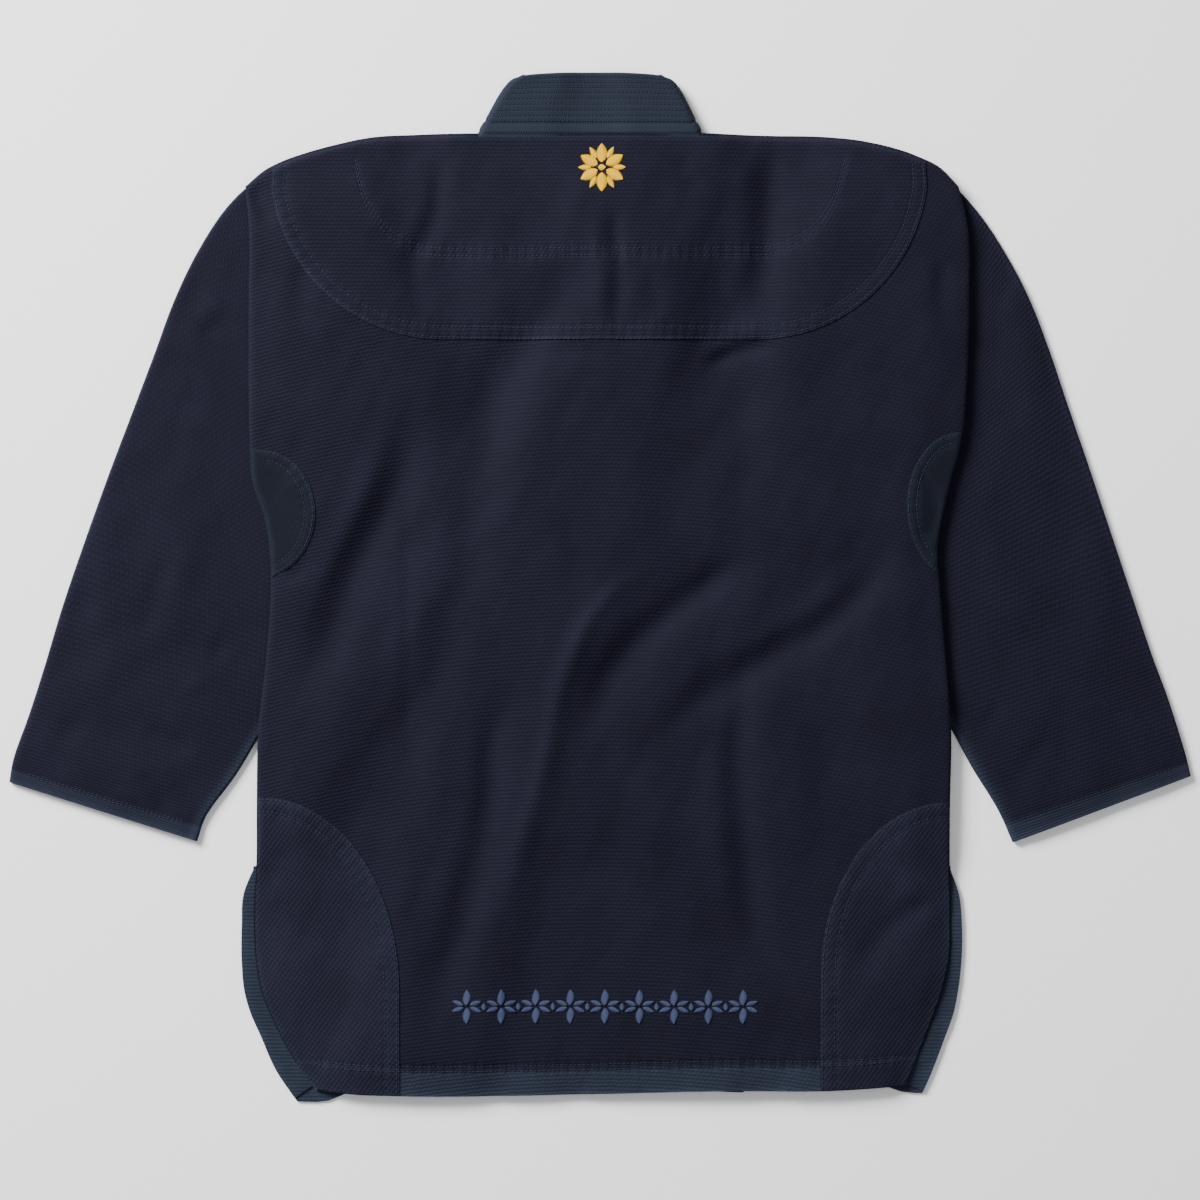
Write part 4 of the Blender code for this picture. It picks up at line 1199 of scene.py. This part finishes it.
class GI_OT_fronts(bpy.types.Operator):
    """Fronts, which lie under the back and show only at the vents"""

    bl_idname = "gi.fronts"
    bl_label = "Fronts"

    def execute(self, context):
        for side in ("left", "right"):
            self.make(context.scene.gi_cloth, side)
        return {"FINISHED"}

    def make(self, cloth, side):
        is_left = side == "left"
        node = "front_panel_" + side
        fold = FOLD_LEFT if is_left else FOLD_RIGHT
        hem = FRONT_HEM_LEFT if is_left else FRONT_HEM_RIGHT
        upper = [row for row in BACK_SIDES if row.y > TAPE_TOP_Y]
        inset = [row._replace(left=row.left + FRONT_INSET, right=row.right - FRONT_INSET) for row in upper]
        table = inset + list(FRONT_VENTS)
        top_y, low_y = table[0].y - FRONT_INSET, table[-1].y if is_left else hem[-1].y
        seam_x, seam_y = lapel_seam(fold, HEM_FRONT_Y if is_left else hem[0].y, np.array((0.0, 1.0)))
        seam_x = seam_x + (-0.3 if is_left else 0.3)

        def outer(t):
            y = top_y + (low_y - top_y) * t
            return side_x(table, side, y), y

        def inner(t):
            return seam_x[0] + (seam_x[1] - seam_x[0]) * t, seam_y[0] + (seam_y[1] - seam_y[0]) * t

        def across_at(t, end, table, offset):
            first, last = (outer(end)[0], seam_x[int(end)]) if is_left else (seam_x[int(end)], outer(end)[0])
            x = first + (last - first) * t
            return x, edge_y(table, x) - offset

        left_edge, right_edge = (outer, inner) if is_left else (inner, outer)
        heights = surface(node, (node,), 4.0)
        cell = 2 * cloth.cell / MM
        piece = sheet_on_plan(
            "front_cloth_" + side,
            lambda u, v: coons(lambda t: across_at(t, 0.0, SHOULDERS, FRONT_INSET),
                               lambda t: across_at(t, 1.0, hem, 0.0), left_edge, right_edge, u, v),
            stations(300.0, cell, (0.0, 2.0, 5.0), (0.0, 2.0, 5.0)), stations(740.0, cell),
            lambda x, y: np.maximum(heights.read(x, y) + np.minimum(creased(BACK_CREASES, x, y), 0), 2.0),
            cloth.wall / MM)
        x, y, _ = vertices_of(piece).T
        lay_weave(piece, x, y)
        from_edge = np.abs(x - side_x(table, side, y))
        # Wear along the vent edge; the band along the hem is partly worn edge and partly painted light,
        # lifting the shadow that the back panel casts there.
        paint_wear_and_light(piece, np.maximum(0.9 * np.exp(-(from_edge / 10.0) ** 2) * ease((TAPE_TOP_Y - y) / 8.0),
                                     0.8 * ease((-402.0 - y) / 8.0)))
        finish_piece(piece, body_cloth(), "body_cloth", [node])


class GI_OT_vent_tapes(bpy.types.Operator):
    """Tapes along the vent edges, on the inner side of the fronts"""

    bl_idname = "gi.vent_tapes"
    bl_label = "Vent tapes"

    def execute(self, context):
        for side in ("left", "right"):
            self.make(side)
        return {"FINISHED"}

    def make(self, side):
        node = "vent_tape_" + side
        is_left = side == "left"
        low_y = FRONT_HEM_LEFT[1].y + 2 if is_left else FRONT_HEM_RIGHT[2].y + 1
        heights = surface(node, (node,), 3.0)

        def plan(u, v):
            y = TAPE_TOP_Y + (low_y - TAPE_TOP_Y) * v
            slope = (side_x(FRONT_VENTS, side, y + 1) - side_x(FRONT_VENTS, side, y - 1)) / 2
            square = np.stack([np.ones_like(slope), -slope]) / np.hypot(1.0, slope)
            share = u if is_left else u - 1
            x = side_x(FRONT_VENTS, side, y) + square[0] * TAPE_WIDTH * share
            return x, np.maximum(y + square[1] * TAPE_WIDTH * share, low_y)

        piece = sheet_on_plan(
            "vent_tape_cloth_" + side, plan, stations(TAPE_WIDTH, 2.0, (0.0, 0.6, 1.5), (0.0, 0.6, 1.5)),
            stations(abs(low_y - TAPE_TOP_Y), 3.0),
            lambda x, y: heights.read(x, y) + 0.12 * ripple(x, y, 3, 10.0, 26.0), 1.0)
        x, y, _ = vertices_of(piece).T
        lay_weave(piece, x, y)
        from_edge = np.abs(x - side_x(FRONT_VENTS, side, y))
        paint_wear_and_light(piece, 0.6 + 0.3 * np.exp(-(from_edge / 5.0) ** 2))
        finish_piece(piece, tape_cloth(), "trim_cloth", [node])


def fold_rows(fold, turns, columns):
    """Rows across the band round one fold, from the neck part above to the lapel below."""
    seam, free = np.array(fold[0], float), np.array(fold[1], float)
    along = (free - seam) / np.hypot(*(free - seam))
    outward = np.array((-along[1], along[0])) if seam[0] < 0 else np.array((along[1], -along[0]))
    middle = FOLD_RADIUS + BAND / 2
    rows = []
    for turn in np.linspace(0, math.pi, turns):
        bulge = FOLD_BULGE * np.sin(math.pi * np.maximum(columns, 0.0)**1.6)
        corner = 1 - 0.8 * ease((columns - 0.78) / 0.22)
        place = seam + (free - seam) * columns[:, None]
        place = place + outward * (bulge + FOLD_RADIUS * math.sin(turn) * corner)[:, None]
        place = place - along * (2.4 * ease((columns - 0.78) / 0.22) * math.sin(turn))[:, None]
        rows.append(np.column_stack([place, np.full(len(columns), middle + FOLD_RADIUS * math.cos(turn))]))
    return np.array(rows)


def lapel_rows(fold, distances, columns):
    """Rows across a lapel at given distances down its seam from the fold, flat in plan."""
    seam, free = np.array(fold[0], float), np.array(fold[1], float)
    inward = -math.copysign(1.0, seam[0])
    down = np.array((inward * LAPEL_SLOPE, -1.0))
    down /= np.hypot(*down)
    square = np.array((-down[1], down[0])) * inward
    lag = np.dot(free - seam, -down)
    folded_width = np.dot(free - seam, square)
    rows = []
    for distance in distances:
        turned = ease(distance / (2 * LAPEL_START))
        width = folded_width + (BAND_WIDTH - folded_width) * turned
        bulge = FOLD_BULGE * np.sin(math.pi * np.maximum(columns, 0.0)**1.6) * (1 - turned)
        place = (seam + down * (distance - lag * columns * (1 - turned))[:, None]
                 + square * (width * columns - bulge)[:, None])
        rows.append(np.column_stack([place, np.zeros(len(columns))]))
    return np.array(rows)


def neck_rows(columns):
    """Middle of the band behind the neck, with its two folds and the start of each lapel."""
    left, right = fold_rows(FOLD_LEFT, 13, columns), fold_rows(FOLD_RIGHT, 13, columns)
    middle = []
    for t in np.linspace(0, 1, 56)[1:-1]:
        row = left[0] * (1 - t) + right[0] * t
        row[:, 1] += 2.6 * math.sin(math.pi * t) ** 0.6 * columns
        row[:, 2] -= NECK_SAG * ease((min(t, 1 - t) - 0.26) / 0.2)
        middle.append(row)
    starts = np.linspace(4.0, LAPEL_START - 0.3, 6)
    under_left, under_right = lapel_rows(FOLD_LEFT, starts, columns), lapel_rows(FOLD_RIGHT, starts, columns)
    under_left[:, :, 2] = under_right[:, :, 2] = BAND / 2
    return np.concatenate([under_left[::-1], left[::-1], middle, right, under_right])


def grid_normals(points):
    """Unit normals of a grid of points, upwards at its middle row."""
    normal = np.cross(np.gradient(points, axis=0), np.gradient(points, axis=1))
    normal /= np.linalg.norm(normal, axis=2, keepdims=True)
    middle = normal[len(normal) // 2, normal.shape[1] // 2]
    return normal if middle[2] > 0 else -normal


def tucked_columns():
    """Places across the band behind the neck, from its edge tucked under the back panel to its free edge."""
    width = BAND_WIDTH + BAND_TUCK
    places = stations(width, 0.9, BAND_RIM, BAND_RIM) * width
    return (places - BAND_TUCK) / BAND_WIDTH


def band_half(columns):
    """Half the band's thickness across its width: rounded edges, and a valley at each stitch row."""
    place = columns * BAND_WIDTH
    half = BAND / 2 * rounded_rim(np.minimum(place - place[0], BAND_WIDTH - place), 2.3)
    for row in BAND_ROWS_AT:
        half = half - 0.28 * np.exp(-((place - row) / 1.0) ** 2)
    half = half - 0.8 * np.exp(-((place - 6.6) / 1.0) ** 2)
    return half * (1 - 0.55 * ease((1.0 - place) / 3.0))


def band_piece(name, middle, columns, node):
    """A stretch of the collar band: its two faces, edges and ends as one closed skin."""
    normal = grid_normals(middle)
    half = band_half(columns)[None, :, None]
    above, below = middle + normal * half, middle - normal * half
    skin = np.concatenate([above, below[:, ::-1]], axis=1)
    skin = np.concatenate([skin, skin[:, :1]], axis=1)
    run = np.concatenate([[0], np.cumsum(np.linalg.norm(np.diff(middle, axis=0), axis=2).mean(axis=1))])
    piece, column, row = new_grid(name, skin.shape[1] - 1, skin.shape[0] - 1)
    place_vertices(piece, skin[row, column])
    across = np.concatenate([columns, 2 - columns[::-1], [2.0]]) * BAND_WIDTH
    lay_weave(piece, across[column], run[row])
    at_edge = np.minimum(columns, 1 - columns) * BAND_WIDTH
    wear_and_painted_light = 0.35 * np.exp(-(at_edge / 3.0) ** 2) + 0.1
    wear_and_painted_light = np.concatenate([wear_and_painted_light, wear_and_painted_light[::-1], wear_and_painted_light[:1]])
    paint_wear_and_light(piece, wear_and_painted_light[column])
    select_only(piece)
    bpy.ops.object.mode_set(mode="EDIT")
    bpy.ops.mesh.select_all(action="SELECT")
    bpy.ops.mesh.remove_doubles(threshold=0.00001)
    bpy.ops.mesh.fill_holes(sides=0)
    bpy.ops.mesh.select_all(action="SELECT")
    bpy.ops.mesh.normals_make_consistent(inside=False)
    bpy.ops.object.mode_set(mode="OBJECT")
    finish_piece(piece, band_cloth(), "band_cloth", [node], 60.0)
    return piece


class GI_OT_collar_band(bpy.types.Operator):
    """Collar band: stitched thick strip round the neck and down both fronts"""

    bl_idname = "gi.collar_band"
    bl_label = "Collar band"

    def execute(self, context):
        columns = tucked_columns()
        band_piece("collar_band", neck_rows(columns), columns, "collar_neck")
        columns = stations(BAND_WIDTH, 1.7, BAND_RIM, BAND_RIM)
        for side, fold in (("left", FOLD_LEFT), ("right", FOLD_RIGHT)):
            node = "lapel_" + side
            heights = surface(node, (node,), 5.0)
            length = (fold[0].y - HEM_FRONT_Y) * math.hypot(1.0, LAPEL_SLOPE)
            middle = lapel_rows(fold, np.linspace(LAPEL_START, length, 80), columns)
            middle[:, :, 1] = np.maximum(middle[:, :, 1], HEM_FRONT_Y)
            middle[:, :, 2] = heights.read(middle[:, :, 0], middle[:, :, 1]) - BAND / 2
            band_piece("lapel_band_" + side, middle, columns, node)
        return {"FINISHED"}


def copies(name, pattern, count):
    """One mesh with a pattern repeated, in order, and the pattern's own points."""
    bpy.ops.object.select_all(action="DESELECT")
    bpy.ops.mesh.primitive_uv_sphere_add(segments=pattern[0], ring_count=pattern[1], radius=1.0)
    piece = bpy.context.active_object
    piece.name = piece.data.name = name
    points = vertices_of(piece) * MM
    array = piece.modifiers.new("copies", "ARRAY")
    array.count = count
    array.use_relative_offset = False
    array.use_constant_offset = True
    array.constant_offset_displace = (3.0, 0.0, 0.0)
    apply_modifier(piece, array)
    return piece, points


def thread_rows(name, centres, directions, normals, lengths, width, material, slot, dome=0.0):
    """Stitches: one short rounded thread at each centre, along its direction."""
    piece, pattern = copies(name, (6, 6), len(centres))
    side = np.cross(normals, directions)
    side /= np.linalg.norm(side, axis=1, keepdims=True)
    up = np.cross(directions, side)
    long_way, across, out = pattern[:, 2], pattern[:, 0], pattern[:, 1]
    blunt = np.sign(long_way) * np.abs(long_way) ** 0.7
    out = out * 0.5 + dome * (1 - blunt**2)
    half = np.asarray(lengths)[:, None, None] / 2
    points = (centres[:, None] + directions[:, None] * (blunt[None, :, None] * half)
              + side[:, None] * (across[None, :, None] * width / 2)
              + up[:, None] * (out[None, :, None] * width))
    place_vertices(piece, points.reshape(-1, 3))
    select_only(piece)
    bpy.ops.object.mode_set(mode="EDIT")
    bpy.ops.mesh.select_all(action="SELECT")
    bpy.ops.mesh.normals_make_consistent(inside=False)
    bpy.ops.object.mode_set(mode="OBJECT")
    return finish_piece(piece, material, slot, angle=80.0)


def drop(pieces, x, y):
    """Highest point of some pieces under each (x, y), in millimetres."""
    trees = [tree_of(piece) for piece in pieces]
    z = np.zeros(len(x))
    for i, (px, py) in enumerate(zip(x, y)):
        for tree in trees:
            hit = tree.ray_cast(Vector((px * MM, py * MM, 0.1)), Vector((0, 0, -1)))[0]
            if hit is not None:
                z[i] = max(z[i], hit.z / MM)
    return z


def stitch_lines(name, lines, on, slot):
    """Rows of stitches along plan lines, on top of some pieces."""
    stitch = bpy.context.scene.gi_stitch
    centres, directions = [], []
    for line in lines:
        along = curve_through(line, stitch.pitch / MM)
        centres.append((along[1:] + along[:-1]) / 2)
        directions.append(along[1:] - along[:-1])
    plan, step = np.concatenate(centres), np.concatenate(directions)
    step = step / np.hypot(*step.T)[:, None]
    x, y = plan.T
    ahead, behind = (drop(on, *(plan + step * reach).T) for reach in (1.2, -1.2))
    z = drop(on, x, y)
    keep = (z > 0.5) & (ahead > 0.5) & (behind > 0.5) & (np.abs(ahead - behind) < 2.0)
    direction = np.column_stack([step, (ahead - behind) / 2.4])[keep]
    direction /= np.linalg.norm(direction, axis=1, keepdims=True)
    random = np.random.default_rng(len(name))
    centre = np.column_stack([x, y, z + 0.12])[keep]
    centre[:, :2] += random.normal(0, 0.08, (len(centre), 2))
    upward = np.tile((0.0, 0.0, 1.0), (len(centre), 1))
    lengths = stitch.length / MM * random.uniform(0.92, 1.05, len(centre))
    return thread_rows(name, centre, direction, upward, lengths, stitch.width / MM, sewing_thread(), slot)


class GI_OT_stitching(bpy.types.Operator):
    """Rows of stitches on the back, the patches, the cuffs and the collar band"""

    bl_idname = "gi.stitching"
    bl_label = "Stitching"

    def execute(self, context):
        made = bpy.data.objects
        stitch_lines("yoke_stitches", yoke_lines() + inner_yoke_lines(), [made["yoke_cloth"]], "body_cloth")
        stitch_lines("hem_stitches", hem_lines(),
                     [made["back_cloth"], made["skirt_cloth_left"], made["skirt_cloth_right"]], "body_cloth")
        for side, table in (("left", SLEEVE_LEFT), ("right", SLEEVE_RIGHT)):
            for part, lines, slot in (("armpit", armpit_lines(side), "trim_cloth"),
                                      ("skirt", skirt_lines(side), "skirt_cloth")):
                on = [made[part + "_cloth_" + side]]
                stitch_lines(part + "_stitches_" + side, lines, on, slot)
            cuffs = []
            for place in CUFF_ROWS_AT:
                outer, inner = sleeve_rings(table, np.array((place / SLEEVE_LENGTH,)))
                cuffs.append(np.linspace(outer[0], inner[0], 12)[1:-1])
            stitch_lines("cuff_stitches_" + side, cuffs, [made["sleeve_cloth_" + side]], "body_cloth")
        self.band(context.scene.gi_stitch)
        return {"FINISHED"}

    def band(self, stitch):
        columns = np.array(BAND_ROWS_AT) / BAND_WIDTH
        fine = tucked_columns()
        middle = neck_rows(fine)
        normal = grid_normals(middle)
        outer = middle + normal * band_half(fine)[None, :, None]
        centres, directions, normals = [], [], []
        for place in columns:
            row = np.array([[np.interp(place, fine, line[:, axis]) for axis in (0, 1, 2)] for line in outer])
            up = np.array([[np.interp(place, fine, line[:, axis]) for axis in (0, 1, 2)] for line in normal])
            run = np.concatenate([[0], np.cumsum(np.linalg.norm(np.diff(row, axis=0), axis=1))])
            even = np.arange(1.0, run[-1] - 1.0, stitch.pitch / MM * 0.9)
            spot, ahead, behind, out = (
                np.stack([np.interp(even + reach, run, column) for column in source.T], axis=1)
                for source, reach in ((row, 0.0), (row, 1.0), (row, -1.0), (up, 0.0)))
            centres.append(spot + out * 0.1)
            directions.append((ahead - behind) / np.linalg.norm(ahead - behind, axis=1, keepdims=True))
            normals.append(out)
        centre = np.concatenate(centres)
        thread_rows("band_stitches", centre, np.concatenate(directions), np.concatenate(normals),
                    np.full(len(centre), stitch.length / MM * 0.88), stitch.width / MM * 0.85,
                    sewing_thread(), "band_cloth")


def satin(name, spots, on, width, material, slot, dome=1.1):
    """Satin stitch: threads laid side by side, each (x, y, angle, length)."""
    x, y, angle, length = np.array(spots).T
    step = np.column_stack([np.cos(angle), np.sin(angle)])
    half = length[:, None] / 2
    plan = np.column_stack([x, y])
    ahead, behind = drop(on, *(plan + step * half).T), drop(on, *(plan - step * half).T)
    direction = np.column_stack([step, (ahead - behind) / length])
    direction /= np.linalg.norm(direction, axis=1, keepdims=True)
    centre = np.column_stack([x, y, np.maximum(drop(on, x, y), (ahead + behind) / 2) + 0.15])
    upward = np.tile((0.0, 0.0, 1.0), (len(centre), 1))
    return thread_rows(name, centre, direction, upward, length, width, material, slot, dome)


def petal_threads(centre_x, centre_y, turn, start, length, breadth, pitch, slant=0.0):
    """Threads across one leaf shape that points away from a centre."""
    spots = []
    for run in np.arange(pitch / 2, length, pitch):
        t = run / length
        across = breadth * math.sin(math.pi * t**0.85) ** 0.75
        if across < pitch:
            continue
        place = start + run
        spots.append((centre_x + place * math.cos(turn), centre_y + place * math.sin(turn),
                      turn + math.pi / 2 + slant, across))
    return spots


class GI_OT_embroidery(bpy.types.Operator):
    """Rosette below the collar and a row of plain leaves above the hem"""

    bl_idname = "gi.embroidery"
    bl_label = "Embroidery"

    def execute(self, context):
        settings = context.scene.gi_embroidery
        self.rosette(settings)
        self.border(settings)
        return {"FINISHED"}

    def rosette(self, settings):
        size = settings.rosette_size / MM
        spots = []
        for k in range(6):
            turn = math.radians(90 + 60 * k)
            spots += petal_threads(*ROSETTE_AT, turn, size * 0.11, size * 0.40, size * 0.25, 0.55)
        for k in range(6):
            turn = math.radians(60 + 60 * k)
            spots += petal_threads(*ROSETTE_AT, turn, size * 0.23, size * 0.27, size * 0.13, 0.55)
        spots += petal_threads(*ROSETTE_AT, 0.0, -size * 0.08, size * 0.16, size * 0.15, 0.55)
        satin("rosette_embroidery", spots, [bpy.data.objects["yoke_cloth"]], 0.62,
              thread("gold_embroidery_thread", settings.rosette_colour, 0.42), "body_cloth")

    def border(self, settings):
        length, height = settings.border_length / MM, settings.border_height / MM
        middle_x, middle_y = BORDER_AT
        count = 9
        spacing = length / count
        spots = []
        for k in range(count):
            x = middle_x + (k + 0.5 - count / 2) * spacing
            for turn in (90, 270):
                spots += petal_threads(x, middle_y, math.radians(turn), 1.2, height / 2 - 1.2, 7.6, 0.6, 0.35)
            for turn in (20, 160, 200, 340):
                spots += petal_threads(x, middle_y, math.radians(turn), 3.0, 9.6, 4.8, 0.6, 0.3)
            if k:
                edge_x = x - spacing / 2
                spots += petal_threads(edge_x, middle_y - 3.0, math.pi / 2, 0.0, 6.0, 4.6, 0.6)
        satin("border_embroidery", spots, [bpy.data.objects["back_cloth"]], 0.68,
              thread("slate_embroidery_thread", settings.border_colour, 0.5), "body_cloth", dome=0.9)


def area_light(name, place, aim, size, power):
    light = bpy.data.lights.new(name, "AREA")
    light.shape = "SQUARE"
    light.size = size
    light.energy = power
    lamp = bpy.data.objects.new(name, light)
    lamp.location = place
    lamp.rotation_euler = (Vector(aim) - Vector(place)).to_track_quat("-Z", "Y").to_euler()
    bpy.context.scene.collection.objects.link(lamp)


class GI_OT_stage(bpy.types.Operator):
    """Pale floor, soft studio light, and a camera straight above"""

    bl_idname = "gi.stage"
    bl_label = "Stage"

    def execute(self, context):
        stage = context.scene.gi_stage
        bpy.ops.object.select_all(action="DESELECT")
        bpy.ops.mesh.primitive_plane_add(size=30.0)
        floor = context.active_object
        floor.name = "floor"
        material = bpy.data.materials.new("pale_floor")
        material.use_nodes = True
        shader = material.node_tree.nodes["Principled BSDF"]
        shader.inputs["Base Color"].default_value = (*stage.floor_colour, 1.0)
        shader.inputs["Roughness"].default_value = 0.9
        floor.data.materials.append(material)

        world = bpy.data.worlds.new("studio")
        world.use_nodes = True
        world.node_tree.nodes["Background"].inputs["Color"].default_value = (0.93, 0.95, 1.0, 1.0)
        world.node_tree.nodes["Background"].inputs["Strength"].default_value = 0.38
        context.scene.world = world
        area_light("key_light", (-2.6, 2.3, 2.15), (0.0, 0.0, 0.0), 1.7, stage.key_power)
        area_light("fill_light", (0.5, -0.3, 3.4), (0.0, 0.0, 0.0), 2.4, stage.fill_power)

        camera = bpy.data.objects.new("camera", bpy.data.cameras.new("camera"))
        camera.data.sensor_width = 36.0
        camera.data.lens = 36.0 * stage.camera_height / stage.view_width
        camera.location = (0.0, -0.011, stage.camera_height)
        context.scene.collection.objects.link(camera)
        context.scene.camera = camera
        return {"FINISHED"}


class GI_PT_panel(bpy.types.Panel):
    """Settings and pieces of the gi jacket"""

    bl_idname = "GI_PT_panel"
    bl_label = "Gi Jacket"
    bl_space_type = "VIEW_3D"
    bl_region_type = "UI"
    bl_category = "Gi Jacket"

    def draw(self, context):
        layout = self.layout
        for operator in OPERATORS:
            layout.operator(operator.bl_idname)
        for group in (context.scene.gi_cloth, context.scene.gi_stitch, context.scene.gi_embroidery,
                      context.scene.gi_stage):
            box = layout.box()
            for name in group.__annotations__:
                box.prop(group, name)


SETTINGS = (
    ("gi_cloth", GiClothSettings),
    ("gi_stitch", GiStitchSettings),
    ("gi_embroidery", GiEmbroiderySettings),
    ("gi_stage", GiStageSettings),
)
OPERATORS = (
    GI_OT_stage,
    GI_OT_sleeves,
    GI_OT_fronts,
    GI_OT_vent_tapes,
    GI_OT_collar_band,
    GI_OT_back_panel,
    GI_OT_shoulder_yoke,
    GI_OT_reinforcements,
    GI_OT_stitching,
    GI_OT_embroidery,
)


def register():
    for name, group in SETTINGS:
        bpy.utils.register_class(group)
        setattr(bpy.types.Scene, name, bpy.props.PointerProperty(type=group))
    for operator in OPERATORS:
        bpy.utils.register_class(operator)
    bpy.utils.register_class(GI_PT_panel)


def unregister():
    bpy.utils.unregister_class(GI_PT_panel)
    for operator in reversed(OPERATORS):
        bpy.utils.unregister_class(operator)
    for name, group in reversed(SETTINGS):
        delattr(bpy.types.Scene, name)
        bpy.utils.unregister_class(group)


def main():
    register()
    bpy.ops.gi.stage()
    bpy.ops.gi.sleeves()
    bpy.ops.gi.fronts()
    bpy.ops.gi.vent_tapes()
    bpy.ops.gi.collar_band()
    bpy.ops.gi.back_panel()
    bpy.ops.gi.shoulder_yoke()
    bpy.ops.gi.reinforcements()
    bpy.ops.gi.stitching()
    bpy.ops.gi.embroidery()


if __name__ == "__main__":
    main()
